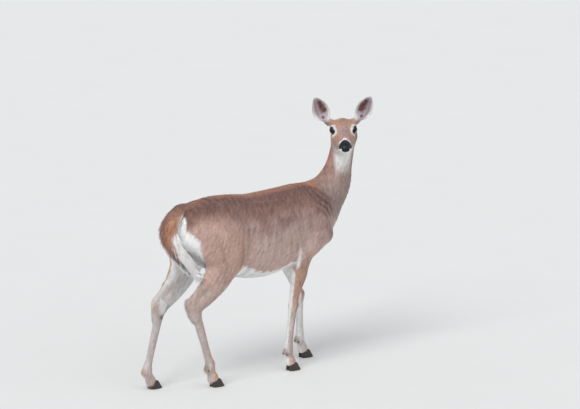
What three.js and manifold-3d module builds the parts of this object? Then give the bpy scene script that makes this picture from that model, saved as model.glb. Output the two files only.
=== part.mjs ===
// A white-tailed deer doe, life size, standing in mid-step, with her head turned to look back over her
// right side.
// Millimetres. +Z is up, the trunk's nose end points to -Y, and +X is the doe's left side.
//
// The body is one smooth field of rounded forms (trunk, muscles, limbs, skull). It is meshed piece by piece
// on grids as coarse as each piece allows, and the pieces are parted by thin plane cuts.
import * as THREE from "three";
import { mergeVertices } from "three/addons/utils/BufferGeometryUtils.js";
import Module from "manifold-3d";

const wasm = await Module();
wasm.setup();

// ---------------------------------------------------------------- driving dimensions

const WITHERS = 818; // top of the shoulders, hair included
const LOIN = 807;
const RUMP = 824;
const BELLY = 430; // lowest line of the belly
const BARREL = 150; // half the greatest width of the trunk
const GAP = 0.4; // clearance left by every cut

const HEAD_TURN = 127.5; // degrees to the right of straight ahead
const HEAD_PITCH = 7; // degrees, nose down
const HEAD_TILT = 2; // degrees, crown towards her right
const EYES = new THREE.Vector3(-100, -447, 1044); // the point midway between the eyes

const EYE_RADIUS = 16;
const EYE_ASIDE = 45; // centre of each eyeball from the head's middle plane
const EYE_BACK = 160; // from the nose tip
const EYE_UP = 20;

const EAR_LENGTH = 140;
const EAR_WIDTH = 82;

const TOE = { long: 64, wide: 21, tall: 44, splay: 4 }; // each of the two toes of a hoof
const DEWCLAW = { long: 20, wide: 11, tall: 17 };

// ---------------------------------------------------------------- fields

const clamp = (v, low, high) => Math.min(high, Math.max(low, v));
const SIDE = [1, 0, 0];
const FAR = 90; // beyond this distance from its box a form is only a rough distance

// Smooth union of two field values, blended over a band k wide.
function blend(a, b, k) {
  const h = Math.max(k - Math.abs(a - b), 0) / k;
  return Math.min(a, b) - (h * h * k) / 4;
}

// A tube with elliptical sections swept along a spline. Each station is { at, wide, deep }: a point, the
// half width along `side`, and the half depth across it. `egg` narrows the upper half of a section, and
// `square` is the exponent of its outline. Returns a function of x, y, z that is zero on the surface.
function sweep(stations, { side = SIDE, egg = 0, square = 2, steps = 4 } = {}) {
  const path = new THREE.CatmullRomCurve3(
    stations.map((s) => new THREE.Vector3(...s.at)),
    false,
    "catmullrom",
    0.5,
  );
  const size = new THREE.CatmullRomCurve3(
    stations.map((s) => new THREE.Vector3(s.wide, s.deep, 0)),
    false,
    "catmullrom",
    0.5,
  );
  const count = (stations.length - 1) * steps;
  const links = [];
  for (let i = 0; i < count; i++) {
    const a = path.getPoint(i / count);
    const b = path.getPoint((i + 1) / count);
    const axis = b.clone().sub(a);
    const length = axis.length();
    axis.divideScalar(length);
    const across = new THREE.Vector3(...side);
    across.addScaledVector(axis, -across.dot(axis)).normalize();
    const upward = across.clone().cross(axis).normalize();
    if (upward.z < 0) upward.negate();
    const from = size.getPoint(i / count);
    const to = size.getPoint((i + 1) / count);
    links.push({ a, axis, length, across, upward, from, to });
  }
  const room = new THREE.Box3();
  for (const s of stations)
    room.union(
      new THREE.Box3().setFromCenterAndSize(
        new THREE.Vector3(...s.at),
        new THREE.Vector3().setScalar(2.2 * Math.max(s.wide, s.deep)),
      ),
    );
  const probe = new THREE.Vector3();
  return (x, y, z) => {
    const outside = room.distanceToPoint(probe.set(x, y, z));
    if (outside > FAR) return outside;
    let nearest = Infinity;
    for (const { a, axis, length, across, upward, from, to } of links) {
      const px = x - a.x;
      const py = y - a.y;
      const pz = z - a.z;
      const along = clamp(px * axis.x + py * axis.y + pz * axis.z, 0, length);
      const t = along / length;
      const wide = Math.max(from.x + (to.x - from.x) * t, 1);
      const deep = Math.max(from.y + (to.y - from.y) * t, 1);
      const dx = px - axis.x * along;
      const dy = py - axis.y * along;
      const dz = pz - axis.z * along;
      const v = (dx * upward.x + dy * upward.y + dz * upward.z) / deep;
      const narrowed = wide * (1 - egg * clamp(v, -1, 1));
      const u = (dx * across.x + dy * across.y + dz * across.z) / narrowed;
      const s = (dx * axis.x + dy * axis.y + dz * axis.z) / Math.min(wide, deep);
      const away = Math.hypot(dx, dy, dz);
      const ring =
        square === 2
          ? Math.hypot(u, v, s)
          : Math.hypot((Math.abs(u) ** square + Math.abs(v) ** square) ** (1 / square), s);
      const value = ring > 1e-6 ? ((ring - 1) * away) / ring : -Math.min(wide, deep);
      if (value < nearest) nearest = value;
    }
    return nearest;
  };
}

const union = (forms) => (x, y, z) =>
  forms.reduce((d, { field, soft }) => blend(d, field(x, y, z), soft), 1e4);

// ---------------------------------------------------------------- the trunk

// [y, top, bottom, half width] from the buttocks to the point of the chest
const trunkStations = [
  [380, 748, 640, 36],
  [336, 796, 588, 74],
  [240, RUMP, 520, 112],
  [140, RUMP - 3, 470, 126],
  [20, LOIN, BELLY + 2, BARREL],
  [-80, LOIN + 1, BELLY + 6, BARREL - 2],
  [-190, LOIN + 7, BELLY + 38, 132],
  [-285, WITHERS - 1, BELLY + 58, 106],
  [-370, WITHERS - 30, BELLY + 80, 78],
  [-426, 712, BELLY + 140, 44],
].map(([y, top, bottom, half]) => ({
  at: [0, y, (top + bottom) / 2],
  wide: half,
  deep: (top - bottom) / 2,
}));

const trunk = sweep(trunkStations, { egg: 0.12, square: 2.25 });

// ---------------------------------------------------------------- the legs

// Joints of each leg, [x, y, z] with x to the doe's left. The right hind leg is swung forward and the left
// one trails; the left foreleg is ahead of the right one.
const legs = {
  fore_right: {
    scapula: [-62, -330, 740],
    shoulder: [-86, -343, 600],
    elbow: [-92, -214, 500],
    knee: [-75, -182, 300],
    fetlock: [-70, -160, 104],
    toe: [-70, -190, 0],
  },
  fore_left: {
    scapula: [62, -338, 740],
    shoulder: [88, -378, 594],
    elbow: [92, -272, 488],
    knee: [73, -340, 296],
    fetlock: [69, -342, 104],
    toe: [70, -380, 0],
  },
  hind_right: {
    hip: [-82, 262, 706],
    pin: [-58, 306, 700],
    ham: [-92, 280, 620],
    crease: [-90, 262, 545],
    stifle: [-108, 156, 560],
    hock: [-74, 366, 366],
    fetlock: [-70, 280, 104],
    toe: [-70, 240, 0],
  },
  hind_left: {
    hip: [82, 275, 706],
    pin: [58, 306, 700],
    ham: [92, 322, 612],
    crease: [90, 328, 525],
    stifle: [108, 202, 548],
    hock: [80, 430, 352],
    fetlock: [76, 508, 92],
    toe: [77, 466, 0],
  },
};

// The point a share t of the way from a to b, moved by `off`.
const between = (a, b, t, off = [0, 0, 0]) =>
  a.map((v, i) => v + (b[i] - v) * t + off[i]);

function foreleg({ scapula, shoulder, elbow, knee, fetlock, toe }) {
  const out = Math.sign(elbow[0]);
  return [
    {
      soft: 60,
      field: sweep([
        { at: between(scapula, shoulder, 0, [0, 10, 0]), wide: 26, deep: 66 },
        { at: between(scapula, shoulder, 0.55, [0, 20, 0]), wide: 36, deep: 74 },
        { at: between(scapula, shoulder, 1, [0, 22, 0]), wide: 36, deep: 58 },
      ]),
    },
    {
      soft: 50,
      field: sweep([
        { at: shoulder, wide: 34, deep: 48 },
        { at: between(shoulder, elbow, 0.5, [0, 8, 12]), wide: 36, deep: 58 },
        { at: between(shoulder, elbow, 1, [-out * 2, 4, 10]), wide: 31, deep: 46 },
      ]),
    },
    {
      soft: 34,
      field: sweep([
        { at: between(elbow, knee, 0, [0, 8, 24]), wide: 30, deep: 50 },
        { at: between(elbow, knee, 0.3, [0, -2, 0]), wide: 30, deep: 43 },
        { at: between(elbow, knee, 0.65), wide: 23, deep: 29 },
        { at: between(elbow, knee, 0.9), wide: 20, deep: 23 },
        { at: between(knee, fetlock, 0.02, [0, -2, 0]), wide: 23, deep: 25 },
        { at: between(knee, fetlock, 0.18), wide: 19, deep: 22 },
        { at: between(knee, fetlock, 0.45), wide: 15.5, deep: 18.5 },
        { at: between(knee, fetlock, 0.8), wide: 15.5, deep: 18.5 },
        { at: between(knee, fetlock, 1), wide: 19, deep: 22 },
        { at: between(fetlock, toe, 0.3, [0, 6, 0]), wide: 19, deep: 19 },
        { at: between(fetlock, toe, 0.62, [0, 8, 0]), wide: 23, deep: 25 },
      ]),
    },
  ];
}

function hindleg({ hip, pin, ham, crease, stifle, hock, fetlock, toe }) {
  const out = Math.sign(hip[0]);
  return [
    {
      soft: 60, // the haunch
      field: sweep([
        { at: between(hip, stifle, -0.2, [-out * 10, 10, 0]), wide: 40, deep: 70 },
        { at: between(hip, stifle, 0.3, [out * 2, 16, 0]), wide: 52, deep: 96 },
        { at: between(hip, stifle, 0.8, [0, 22, 4]), wide: 44, deep: 78 },
      ]),
    },
    {
      soft: 50, // the hamstrings, down the back of the thigh to the tendon of the hock
      field: sweep([
        { at: pin, wide: 38, deep: 46 },
        { at: ham, wide: 42, deep: 48 },
        { at: crease, wide: 32, deep: 40 },
        { at: between(crease, hock, 0.42, [0, 12, 0]), wide: 13, deep: 15 },
      ]),
    },
    {
      soft: 40, // the gaskin
      field: sweep([
        { at: between(stifle, hock, 0.0, [-out * 8, 6, 4]), wide: 38, deep: 55 },
        { at: between(stifle, hock, 0.25, [-out * 6, 3, 1]), wide: 36, deep: 59 },
        { at: between(stifle, hock, 0.52, [-out * 2, -6, -5]), wide: 28, deep: 53 },
        { at: between(stifle, hock, 0.8, [0, -8, -7]), wide: 21, deep: 39 },
        { at: between(stifle, hock, 0.98, [0, -2, -2]), wide: 20, deep: 29 },
      ]),
    },
    {
      soft: 26, // the point of the hock and its tendon
      field: sweep([
        { at: between(stifle, hock, 0.7, [0, 34, 27]), wide: 12, deep: 13 },
        { at: between(stifle, hock, 0.9, [0, 32, 24]), wide: 13, deep: 15 },
        { at: between(stifle, hock, 1, [0, 31, 20]), wide: 15, deep: 18 },
        { at: between(hock, fetlock, 0.16, [0, 16, 0]), wide: 14, deep: 15 },
      ]),
    },
    {
      soft: 26, // hock, cannon and pastern
      field: sweep([
        { at: between(hock, fetlock, -0.02, [0, 0, 0]), wide: 21, deep: 27 },
        { at: between(hock, fetlock, 0.14, [0, 3, 0]), wide: 19, deep: 25 },
        { at: between(hock, fetlock, 0.36), wide: 15.5, deep: 20 },
        { at: between(hock, fetlock, 0.84), wide: 15, deep: 17 },
        { at: between(hock, fetlock, 1), wide: 19, deep: 23 },
        { at: between(fetlock, toe, 0.3, [0, 6, 0]), wide: 19, deep: 19 },
        { at: between(fetlock, toe, 0.62, [0, 8, 0]), wide: 23, deep: 25 },
      ]),
    },
  ];
}

// ---------------------------------------------------------------- neck and head

const NECK_TOP = [-34, -512, 1000];
const neck = sweep(
  [
    { at: [0, -312, 650], wide: 70, deep: 112 },
    { at: [0, -406, 712], wide: 72, deep: 108 },
    { at: [0, -476, 786], wide: 62, deep: 92 },
    { at: [-6, -503, 866], wide: 52, deep: 70 },
    { at: [-18, -512, 940], wide: 50, deep: 62 },
    { at: NECK_TOP, wide: 50, deep: 56 },
  ],
  { steps: 5 },
);

// The head's own frame: x to her left, y from the nose tip back, z up. This matrix places it on the body.
const headPose = new THREE.Matrix4()
  .makeTranslation(EYES)
  .multiply(
    new THREE.Matrix4().makeRotationFromEuler(
      new THREE.Euler(
        THREE.MathUtils.degToRad(HEAD_PITCH),
        THREE.MathUtils.degToRad(-HEAD_TILT),
        THREE.MathUtils.degToRad(-HEAD_TURN),
        "ZXY",
      ),
    ),
  )
  .multiply(new THREE.Matrix4().makeTranslation(0, -EYE_BACK, -EYE_UP));
const headSide = new THREE.Vector3(1, 0, 0).transformDirection(headPose).toArray();
const inHead = (x, y, z) => new THREE.Vector3(x, y, z).applyMatrix4(headPose).toArray();

// [y from the nose, top, bottom, half width], nose to occiput
const skullStations = [
  [9, 2, -38, 24],
  [22, 10, -47, 28.5],
  [48, 15, -54, 29],
  [80, 22, -61.5, 31],
  [112, 32, -67, 37],
  [140, 42, -74, 43],
  [168, 52, -78, 49],
  [205, 57, -80, 50],
  [240, 50, -72, 46],
  [262, 32, -50, 33],
].map(([y, top, bottom, half]) => ({
  at: inHead(0, y, (top + bottom) / 2),
  wide: half,
  deep: (top - bottom) / 2,
}));

// Each ear in the head's frame: its root, the way it points, and the way its opening faces. `s` is its side.
const earRoot = (s) => [s * 64, 232, 38];
const earAxis = (s) => new THREE.Vector3(s * 0.455 + 0.048, -0.08, 0.87).normalize();
const earFacing = (s) => new THREE.Vector3(s * 0.16, -1, -0.1);

const headForms = [
  { soft: 40, field: sweep(skullStations, { side: headSide, egg: -0.04, square: 2.2 }) },
  {
    soft: 30, // the throat, from the jaw into the neck
    field: sweep([
      { at: inHead(0, 175, -62), wide: 36, deep: 30 },
      { at: inHead(0, 225, -66), wide: 42, deep: 44 },
      { at: NECK_TOP, wide: 46, deep: 50 },
    ]),
  },
  ...[-1, 1].map((s) => ({
    soft: 14, // brow and eye socket
    field: sweep(
      [
        { at: inHead(s * 38, 146, 22), wide: 15, deep: 14 },
        { at: inHead(s * 41.5, 163, 25), wide: 18, deep: 18 },
        { at: inHead(s * 41, 184, 24), wide: 17.5, deep: 16 },
      ],
      { side: headSide },
    ),
  })),
  ...[-1, 1].map((s) => ({
    soft: 18, // cheek
    field: sweep(
      [
        { at: inHead(s * 24, 128, -26), wide: 12, deep: 16 },
        { at: inHead(s * 32, 168, -28), wide: 16, deep: 28 },
        { at: inHead(s * 31, 205, -30), wide: 17, deep: 34 },
      ],
      { side: headSide },
    ),
  })),
  ...[-1, 1].map((s) => ({
    soft: 16, // root of each ear
    field: sweep([
      { at: inHead(s * 34, 226, 26), wide: 18, deep: 18 },
      { at: inHead(...earRoot(s)), wide: 15, deep: 15 },
    ]),
  })),
];

const TAIL_WIDE = 42;
const tail = sweep([
  { at: [0, 300, 774], wide: 24, deep: 28 },
  { at: [0, 368, 788], wide: 32, deep: 25 },
  { at: [3, 412, 752], wide: 38, deep: 28 },
  { at: [6, 428, 698], wide: TAIL_WIDE, deep: 29 },
  { at: [-4, 417, 636], wide: TAIL_WIDE - 2, deep: 26 },
  { at: [-30, 388, 577], wide: TAIL_WIDE - 10, deep: 20 },
  { at: [-58, 358, 526], wide: 14, deep: 9 },
]);

const body = union([
  { field: trunk, soft: 1 },
  ...foreleg(legs.fore_right),
  ...foreleg(legs.fore_left),
  ...hindleg(legs.hind_right),
  ...hindleg(legs.hind_left),
  { field: neck, soft: 60 },
  ...headForms,
]);

// ---------------------------------------------------------------- meshing a field

// The solid inside `field`, meshed by surface nets in the box low..high with cells of the given sizes.
function meshField(field, low, high, cell) {
  const n = low.map((v, i) => Math.ceil((high[i] - v) / cell[i]) + 1);
  const at = (i, j, k) => (k * n[1] + j) * n[0] + i;
  const value = new Float32Array(n[0] * n[1] * n[2]);
  for (let k = 0; k < n[2]; k++)
    for (let j = 0; j < n[1]; j++)
      for (let i = 0; i < n[0]; i++) {
        const edge =
          i === 0 || j === 0 || k === 0 || i === n[0] - 1 || j === n[1] - 1 || k === n[2] - 1;
        const d = field(low[0] + i * cell[0], low[1] + j * cell[1], low[2] + k * cell[2]);
        value[at(i, j, k)] = edge ? Math.max(d, 1) : d;
      }
  untangle(value, n, at);
  const corners = [];
  for (let c = 0; c < 8; c++) corners.push([c & 1, (c >> 1) & 1, c >> 2]);
  const edges = [];
  for (let a = 0; a < 8; a++)
    for (const bit of [1, 2, 4]) if (!(a & bit)) edges.push([a, a | bit]);

  const positions = [];
  const vertexOf = new Int32Array(value.length).fill(-1);
  for (let k = 0; k < n[2] - 1; k++)
    for (let j = 0; j < n[1] - 1; j++)
      for (let i = 0; i < n[0] - 1; i++) {
        const v = corners.map(([a, b, c]) => value[at(i + a, j + b, k + c)]);
        const sum = [0, 0, 0];
        let crossings = 0;
        for (const [a, b] of edges) {
          if (v[a] < 0 === v[b] < 0) continue;
          const t = v[a] / (v[a] - v[b]);
          for (let m = 0; m < 3; m++)
            sum[m] += corners[a][m] + (corners[b][m] - corners[a][m]) * t;
          crossings++;
        }
        if (!crossings) continue;
        vertexOf[at(i, j, k)] = positions.length / 3;
        const home = [i, j, k];
        const p = home.map((h, m) => low[m] + (h + sum[m] / crossings) * cell[m]);
        positions.push(...settle(field, p, cell, low, high));
      }

  const index = [];
  const face = (a, b, c, d, flip) => {
    const quad = flip ? [a, d, c, b] : [a, b, c, d];
    const far = (p, q) =>
      Math.hypot(...[0, 1, 2].map((m) => positions[p * 3 + m] - positions[q * 3 + m]));
    const [p, q, r, s] = quad;
    if (far(p, r) < far(q, s)) index.push(p, q, r, p, r, s);
    else index.push(p, q, s, q, r, s);
  };
  for (let k = 0; k < n[2] - 1; k++)
    for (let j = 0; j < n[1] - 1; j++)
      for (let i = 0; i < n[0] - 1; i++) {
        const here = value[at(i, j, k)] < 0;
        const cellAt = (a, b, c) => vertexOf[at(i - a, j - b, k - c)];
        if (j && k && here !== value[at(i + 1, j, k)] < 0)
          face(cellAt(0, 1, 1), cellAt(0, 0, 1), cellAt(0, 0, 0), cellAt(0, 1, 0), !here);
        if (i && k && here !== value[at(i, j + 1, k)] < 0)
          face(cellAt(1, 0, 1), cellAt(1, 0, 0), cellAt(0, 0, 0), cellAt(0, 0, 1), !here);
        if (i && j && here !== value[at(i, j, k + 1)] < 0)
          face(cellAt(1, 1, 0), cellAt(0, 1, 0), cellAt(0, 0, 0), cellAt(1, 0, 0), !here);
      }
  const geometry = new THREE.BufferGeometry();
  geometry.setAttribute("position", new THREE.Float32BufferAttribute(positions, 3));
  geometry.setIndex(index);
  return solid(geometry);
}

// Where two corners across a cell's face are inside and the other two outside, the surface would touch
// itself: the sample nearest to the surface changes sides.
function untangle(value, n, at) {
  const squares = [
    [[1, 0, 0], [0, 1, 0]],
    [[1, 0, 0], [0, 0, 1]],
    [[0, 1, 0], [0, 0, 1]],
  ];
  for (let pass = 0, changed = true; changed && pass < 20; pass++) {
    changed = false;
    for (let k = 0; k < n[2] - 1; k++)
      for (let j = 0; j < n[1] - 1; j++)
        for (let i = 0; i < n[0] - 1; i++)
          for (const [p, q] of squares) {
            const ring = [
              at(i, j, k),
              at(i + p[0], j + p[1], k + p[2]),
              at(i + p[0] + q[0], j + p[1] + q[1], k + p[2] + q[2]),
              at(i + q[0], j + q[1], k + q[2]),
            ];
            const inside = ring.map((r) => value[r] < 0);
            if (inside[0] !== inside[2] || inside[1] !== inside[3] || inside[0] === inside[1]) continue;
            const nearest = ring.sort((a, b) => Math.abs(value[a]) - Math.abs(value[b]))[0];
            value[nearest] = value[nearest] < 0 ? 0.01 : -0.01;
            changed = true;
          }
  }
}

// Moves a mesh vertex onto the field's surface, by at most a share of a cell, unless it closes the box.
function settle(field, p, cell, low, high) {
  const closing = p.some((v, m) => v < low[m] + cell[m] || v > high[m] - cell[m]);
  if (closing) return p;
  const reach = 0.45 * Math.min(...cell);
  const q = [...p];
  for (let pass = 0; pass < 3; pass++) {
    const d = field(...q);
    const slope = [0, 1, 2].map((m) => {
      const r = [...q];
      r[m] += 0.5;
      return (field(...r) - d) / 0.5;
    });
    const steep = Math.max(slope.reduce((s, v) => s + v * v, 0), 0.05);
    for (let m = 0; m < 3; m++)
      q[m] = clamp(q[m] - (d * slope[m]) / steep, p[m] - reach, p[m] + reach);
  }
  return q;
}

// ---------------------------------------------------------------- solids, joins and cuts

function solid(geometry) {
  const bare = geometry.clone();
  for (const name of Object.keys(bare.attributes))
    if (name !== "position") bare.deleteAttribute(name);
  const merged = mergeVertices(bare, 1e-4);
  return new wasm.Manifold(
    new wasm.Mesh({
      numProp: 3,
      vertProperties: merged.attributes.position.array,
      triVerts: new Uint32Array(merged.index.array),
    }),
  );
}

// The largest body of a solid, as a geometry: slivers that a cut leaves are dropped.
function toGeometry(piece) {
  const bodies = piece.decompose().sort((a, b) => b.volume() - a.volume());
  const mesh = bodies[0].getMesh();
  const geometry = new THREE.BufferGeometry();
  geometry.setAttribute("position", new THREE.Float32BufferAttribute(mesh.vertProperties, 3));
  geometry.setIndex(new THREE.BufferAttribute(new Uint32Array(mesh.triVerts), 1));
  return geometry;
}

const HUGE = 2400;

// Everything on the side of a plane that its normal points to, `grow` past the plane.
function halfSpace(point, normal, grow = 0) {
  const n = new THREE.Vector3(...normal).normalize();
  const box = new THREE.BoxGeometry(HUGE, HUGE, HUGE);
  const turn = new THREE.Quaternion().setFromUnitVectors(new THREE.Vector3(0, 0, 1), n);
  box.translate(0, 0, HUGE / 2 - grow).applyQuaternion(turn).translate(...point);
  return solid(box);
}

// The region inside several planes, each [point, normal], grown by `grow`.
const region = (planes, grow = 0) =>
  planes
    .map(([point, normal]) => halfSpace(point, normal, grow))
    .reduce((a, b) => a.intersect(b));

const HALF = GAP / 2;

// ---------------------------------------------------------------- small parts

// The outer half of an eyeball, in the head's frame.
function eyeball(s, grow = 0) {
  const centre = [s * EYE_ASIDE, EYE_BACK, EYE_UP];
  const ball = new THREE.SphereGeometry(EYE_RADIUS + grow, 10, 7);
  ball.rotateZ(Math.PI / 2).translate(...centre);
  return solid(ball).intersect(halfSpace(centre, [s * 0.66, -0.74, 0.1], 3 + grow));
}

// Everything past an ear's root, in the head's frame.
const earCut = (s, grow) => region([[earRoot(s), earAxis(s).toArray()]], grow);

// A leaf-shaped ear: a stalk that opens into a cupped blade, as rings of points along its length.
function ear(s) {
  const axis = earAxis(s);
  const across = new THREE.Vector3().crossVectors(axis, earFacing(s)).normalize().multiplyScalar(s);
  const facing = new THREE.Vector3().crossVectors(axis, across).normalize();
  if (facing.y > 0) facing.negate();
  // [share of the length, half width, bulge of the back, bulge of the front, lean of the middle line outward]
  const rings = [
    [-0.1, 13, 13, 13, 0],
    [0.04, 17, 14, 13, 0],
    [0.16, 30, 17, 2, 6],
    [0.3, 39, 19, -9, 7],
    [0.46, EAR_WIDTH / 2, 18, -12, 5],
    [0.62, 36, 15, -10, 2],
    [0.78, 26, 11, -6.5, 1],
    [0.91, 13, 7, -3.5, 0],
    [1, 2, 2.5, 0.5, 0],
  ];
  const SPOKES = 6;
  const positions = [];
  for (const [share, half, back, front, lean] of rings)
    for (let k = 0; k < 2 * SPOKES; k++) {
      const a = ((k < SPOKES ? k : 2 * SPOKES - k) / SPOKES) * Math.PI;
      const depth = k < SPOKES ? -back * Math.sin(a) : front * Math.sin(a);
      const p = new THREE.Vector3(...earRoot(s));
      p.addScaledVector(axis, share * EAR_LENGTH).addScaledVector(across, half * Math.cos(a) + lean);
      positions.push(...p.addScaledVector(facing, depth).toArray());
    }
  return loft(positions, rings.length, 2 * SPOKES);
}

// Closes `count` rings of `spokes` points each into a solid, with a flat fan at each end.
function loft(positions, count, spokes) {
  const index = [];
  for (let r = 0; r + 1 < count; r++)
    for (let k = 0; k < spokes; k++) {
      const [a, b] = [r * spokes + k, r * spokes + ((k + 1) % spokes)];
      index.push(a, b, b + spokes, a, b + spokes, a + spokes);
    }
  const last = (count - 1) * spokes;
  for (let k = 1; k + 1 < spokes; k++) {
    index.push(0, k + 1, k);
    index.push(last, last + k, last + k + 1);
  }
  const geometry = new THREE.BufferGeometry();
  geometry.setAttribute("position", new THREE.Float32BufferAttribute(positions, 3));
  geometry.setIndex(index);
  const made = solid(geometry);
  if (made.volume() > 0) return made;
  for (let i = 0; i < index.length; i += 3) [index[i], index[i + 1]] = [index[i + 1], index[i]];
  geometry.setIndex(index);
  return solid(geometry);
}

// The two toes of a foot: pointed wedges with flat soles, set side by side.
function toes({ toe }) {
  const outline = [
    [0.54, 0.1],
    [0.34, 0.46],
    [0.04, 0.58],
    [-0.28, 0.52],
    [-0.46, 0.24],
    [-0.46, -0.16],
    [-0.24, -0.42],
    [0.1, -0.42],
    [0.36, -0.2],
  ];
  const levels = [0, 0.4, 1.3];
  return [-1, 1].map((s) => {
    const positions = [];
    for (const level of levels)
      for (const [f, w] of outline) {
        const z = level * TOE.tall;
        const along = f * TOE.long - (f > 0 ? z * 0.72 * (f / 0.54) : z * 0.1);
        const across = (w * (1 - 0.08 * level) + 0.54) * TOE.wide;
        const turn = THREE.MathUtils.degToRad(TOE.splay);
        const x = s * (across * Math.cos(turn) + along * Math.sin(turn));
        positions.push(toe[0] + x, toe[1] + 4 - along * Math.cos(turn), z);
      }
    return loft(positions, levels.length, outline.length);
  });
}

// The two dewclaws behind a foot, just under the fetlock, pointing down and back.
function dewclaws({ fetlock, toe }, grow = 0) {
  return [-1, 1].map((s) => {
    const claw = new THREE.SphereGeometry(1, 6, 3);
    claw.scale(DEWCLAW.wide / 2 + grow, DEWCLAW.tall / 2 + grow, DEWCLAW.long / 2 + grow);
    claw.rotateX(THREE.MathUtils.degToRad(28));
    const at = between(fetlock, toe, 0.24, [s * 12, 25, 0]);
    return solid(claw.translate(...at));
  });
}

// ---------------------------------------------------------------- cut planes

const headNormal = new THREE.Vector3(0, -0.7, 0.72).transformDirection(headPose).toArray();
const HEAD_PLANES = [[inHead(0, 236, -70), headNormal]];
const NOSE_PLANES = [[[0, 20.5, 8], [0, -0.95, 0.31]]]; // in the head's frame
const NECK_PLANES = [[[0, -420, 748], [0, -0.79, 0.61]]];
const CORONET = 42; // height of the top of the hooves above the floor, at their middle

// The coronet slopes down towards the heel.
const ankleOf = (toe) => [[toe[0], toe[1], CORONET], [0, 0.3, 1]];

function forePlanes({ elbow, knee, toe }) {
  const s = Math.sign(elbow[0]);
  const upper = [
    [[s * 30, 0, 446], [s * 0.766, 0, -0.643]],
    [[0, elbow[1] + 74, 470], [0, -1, 0.1]],
  ];
  return { upper, joint: [knee, [0, 0, -1]], ankle: ankleOf(toe) };
}

function hindPlanes({ stifle, hock, toe }) {
  const s = Math.sign(stifle[0]);
  const upper = [
    [[s * 30, 0, 430], [s * 0.908, 0, -0.42]],
    [[0, stifle[1] - 62, 560], [0, 0.94, -0.34]],
  ];
  return {
    upper,
    stifle: [between(stifle, hock, 0.2), [0, 0.2, -0.98]],
    joint: [hock, [0, -0.1, -1]],
    ankle: ankleOf(toe),
  };
}

// ---------------------------------------------------------------- materials

// [colour, roughness]
const coat = [0x9c7868, 0.9];
const horn = [0x2a2624, 0.5];
const wetNose = [0x1b1a20, 0.35];
const eyes = [0x0c0a0a, 0.08];

const deer = new THREE.Group();
function add(name, piece, [color, roughness]) {
  const finish = new THREE.MeshStandardMaterial({ color, roughness, metalness: 0 });
  const mesh = new THREE.Mesh(toGeometry(piece), finish);
  mesh.name = name;
  deer.add(mesh);
}

// ---------------------------------------------------------------- the nodes

const sideName = (s) => (s < 0 ? "right" : "left");
const sideOf = (key) => Math.sign(legs[key].fetlock[0]);
const legKeys = Object.keys(legs);
const planesOf = Object.fromEntries(
  legKeys.map((key) => [key, key.startsWith("fore") ? forePlanes(legs[key]) : hindPlanes(legs[key])]),
);

// Trunk: everything but the neck, the head, the legs and the tail.
let trunkSolid = meshField(body, [-190, -560, 380], [190, 420, 880], [42, 49, 37])
  .subtract(region(NECK_PLANES, HALF));
for (const key of legKeys) {
  const half = halfSpace([0, 0, 0], [sideOf(key), 0, 0]);
  trunkSolid = trunkSolid.subtract(region(planesOf[key].upper, HALF).intersect(half));
}
add("trunk", trunkSolid, coat);

// The tail hangs clear of the rump, and its root is cut to the rump's surface.
const rump = toGeometry(trunkSolid).translate(0, GAP, GAP / 3);
const tailMesh = meshField(tail, [-100, 262, 500], [60, 480, 840], [22, 20, 31]);
add("tail", tailMesh.subtract(solid(rump)), coat);

const neckMesh = meshField(body, [-130, -640, 540], [130, -250, 1110], [30, 30, 32]);
const neckSolid = neckMesh.intersect(region(NECK_PLANES, -HALF)).subtract(region(HEAD_PLANES, HALF));
add("neck", neckSolid, coat);

// The head is meshed in its own frame, so that its facets mirror each other.
const onHead = (piece) => {
  const geometry = toGeometry(piece);
  return solid(geometry.applyMatrix4(headPose));
};
const headField = (x, y, z) => body(...inHead(x, y, z));
const skull = meshField(headField, [-90, -8, -112], [90, 322, 96], [15, 16.8, 15]);
const muzzle = meshField(headField, [-42.3, -8, -60], [42.3, 60, 40], [9.4, 9, 9.4]);
const noseRegion = region(NOSE_PLANES, HALF);
let headSolid = skull.subtract(noseRegion);
for (const s of [-1, 1]) headSolid = headSolid.subtract(eyeball(s, GAP)).subtract(earCut(s, HALF));
add("head", onHead(headSolid).intersect(region(HEAD_PLANES, -HALF)), coat);
add("nose_pad", onHead(muzzle.intersect(region(NOSE_PLANES, -HALF))), wetNose);
for (const s of [-1, 1]) {
  add(`eye_${sideName(s)}`, onHead(eyeball(s)), eyes);
  add(`ear_${sideName(s)}`, onHead(ear(s).intersect(earCut(s, -HALF))), coat);
}

// The length of a limb from joint `a` to joint `b`, meshed on a grid that runs along it, so that its
// facets follow it. The grid's x runs across the body, its y forward and its z down the limb.
function meshAlong(a, b, low, high, cell) {
  const down = new THREE.Vector3(...b).sub(new THREE.Vector3(...a));
  const length = down.length();
  down.normalize();
  const forward = new THREE.Vector3().crossVectors(down, new THREE.Vector3(1, 0, 0)).normalize();
  const across = new THREE.Vector3().crossVectors(forward, down);
  const pose = new THREE.Matrix4().makeBasis(across, forward, down).setPosition(...a);
  const p = new THREE.Vector3();
  const along = (x, y, z) => {
    p.set(x, y, z).applyMatrix4(pose);
    return body(p.x, p.y, p.z);
  };
  const piece = meshField(along, low, [high[0], high[1], length + high[2]], cell);
  return solid(toGeometry(piece).applyMatrix4(pose));
}

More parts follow.
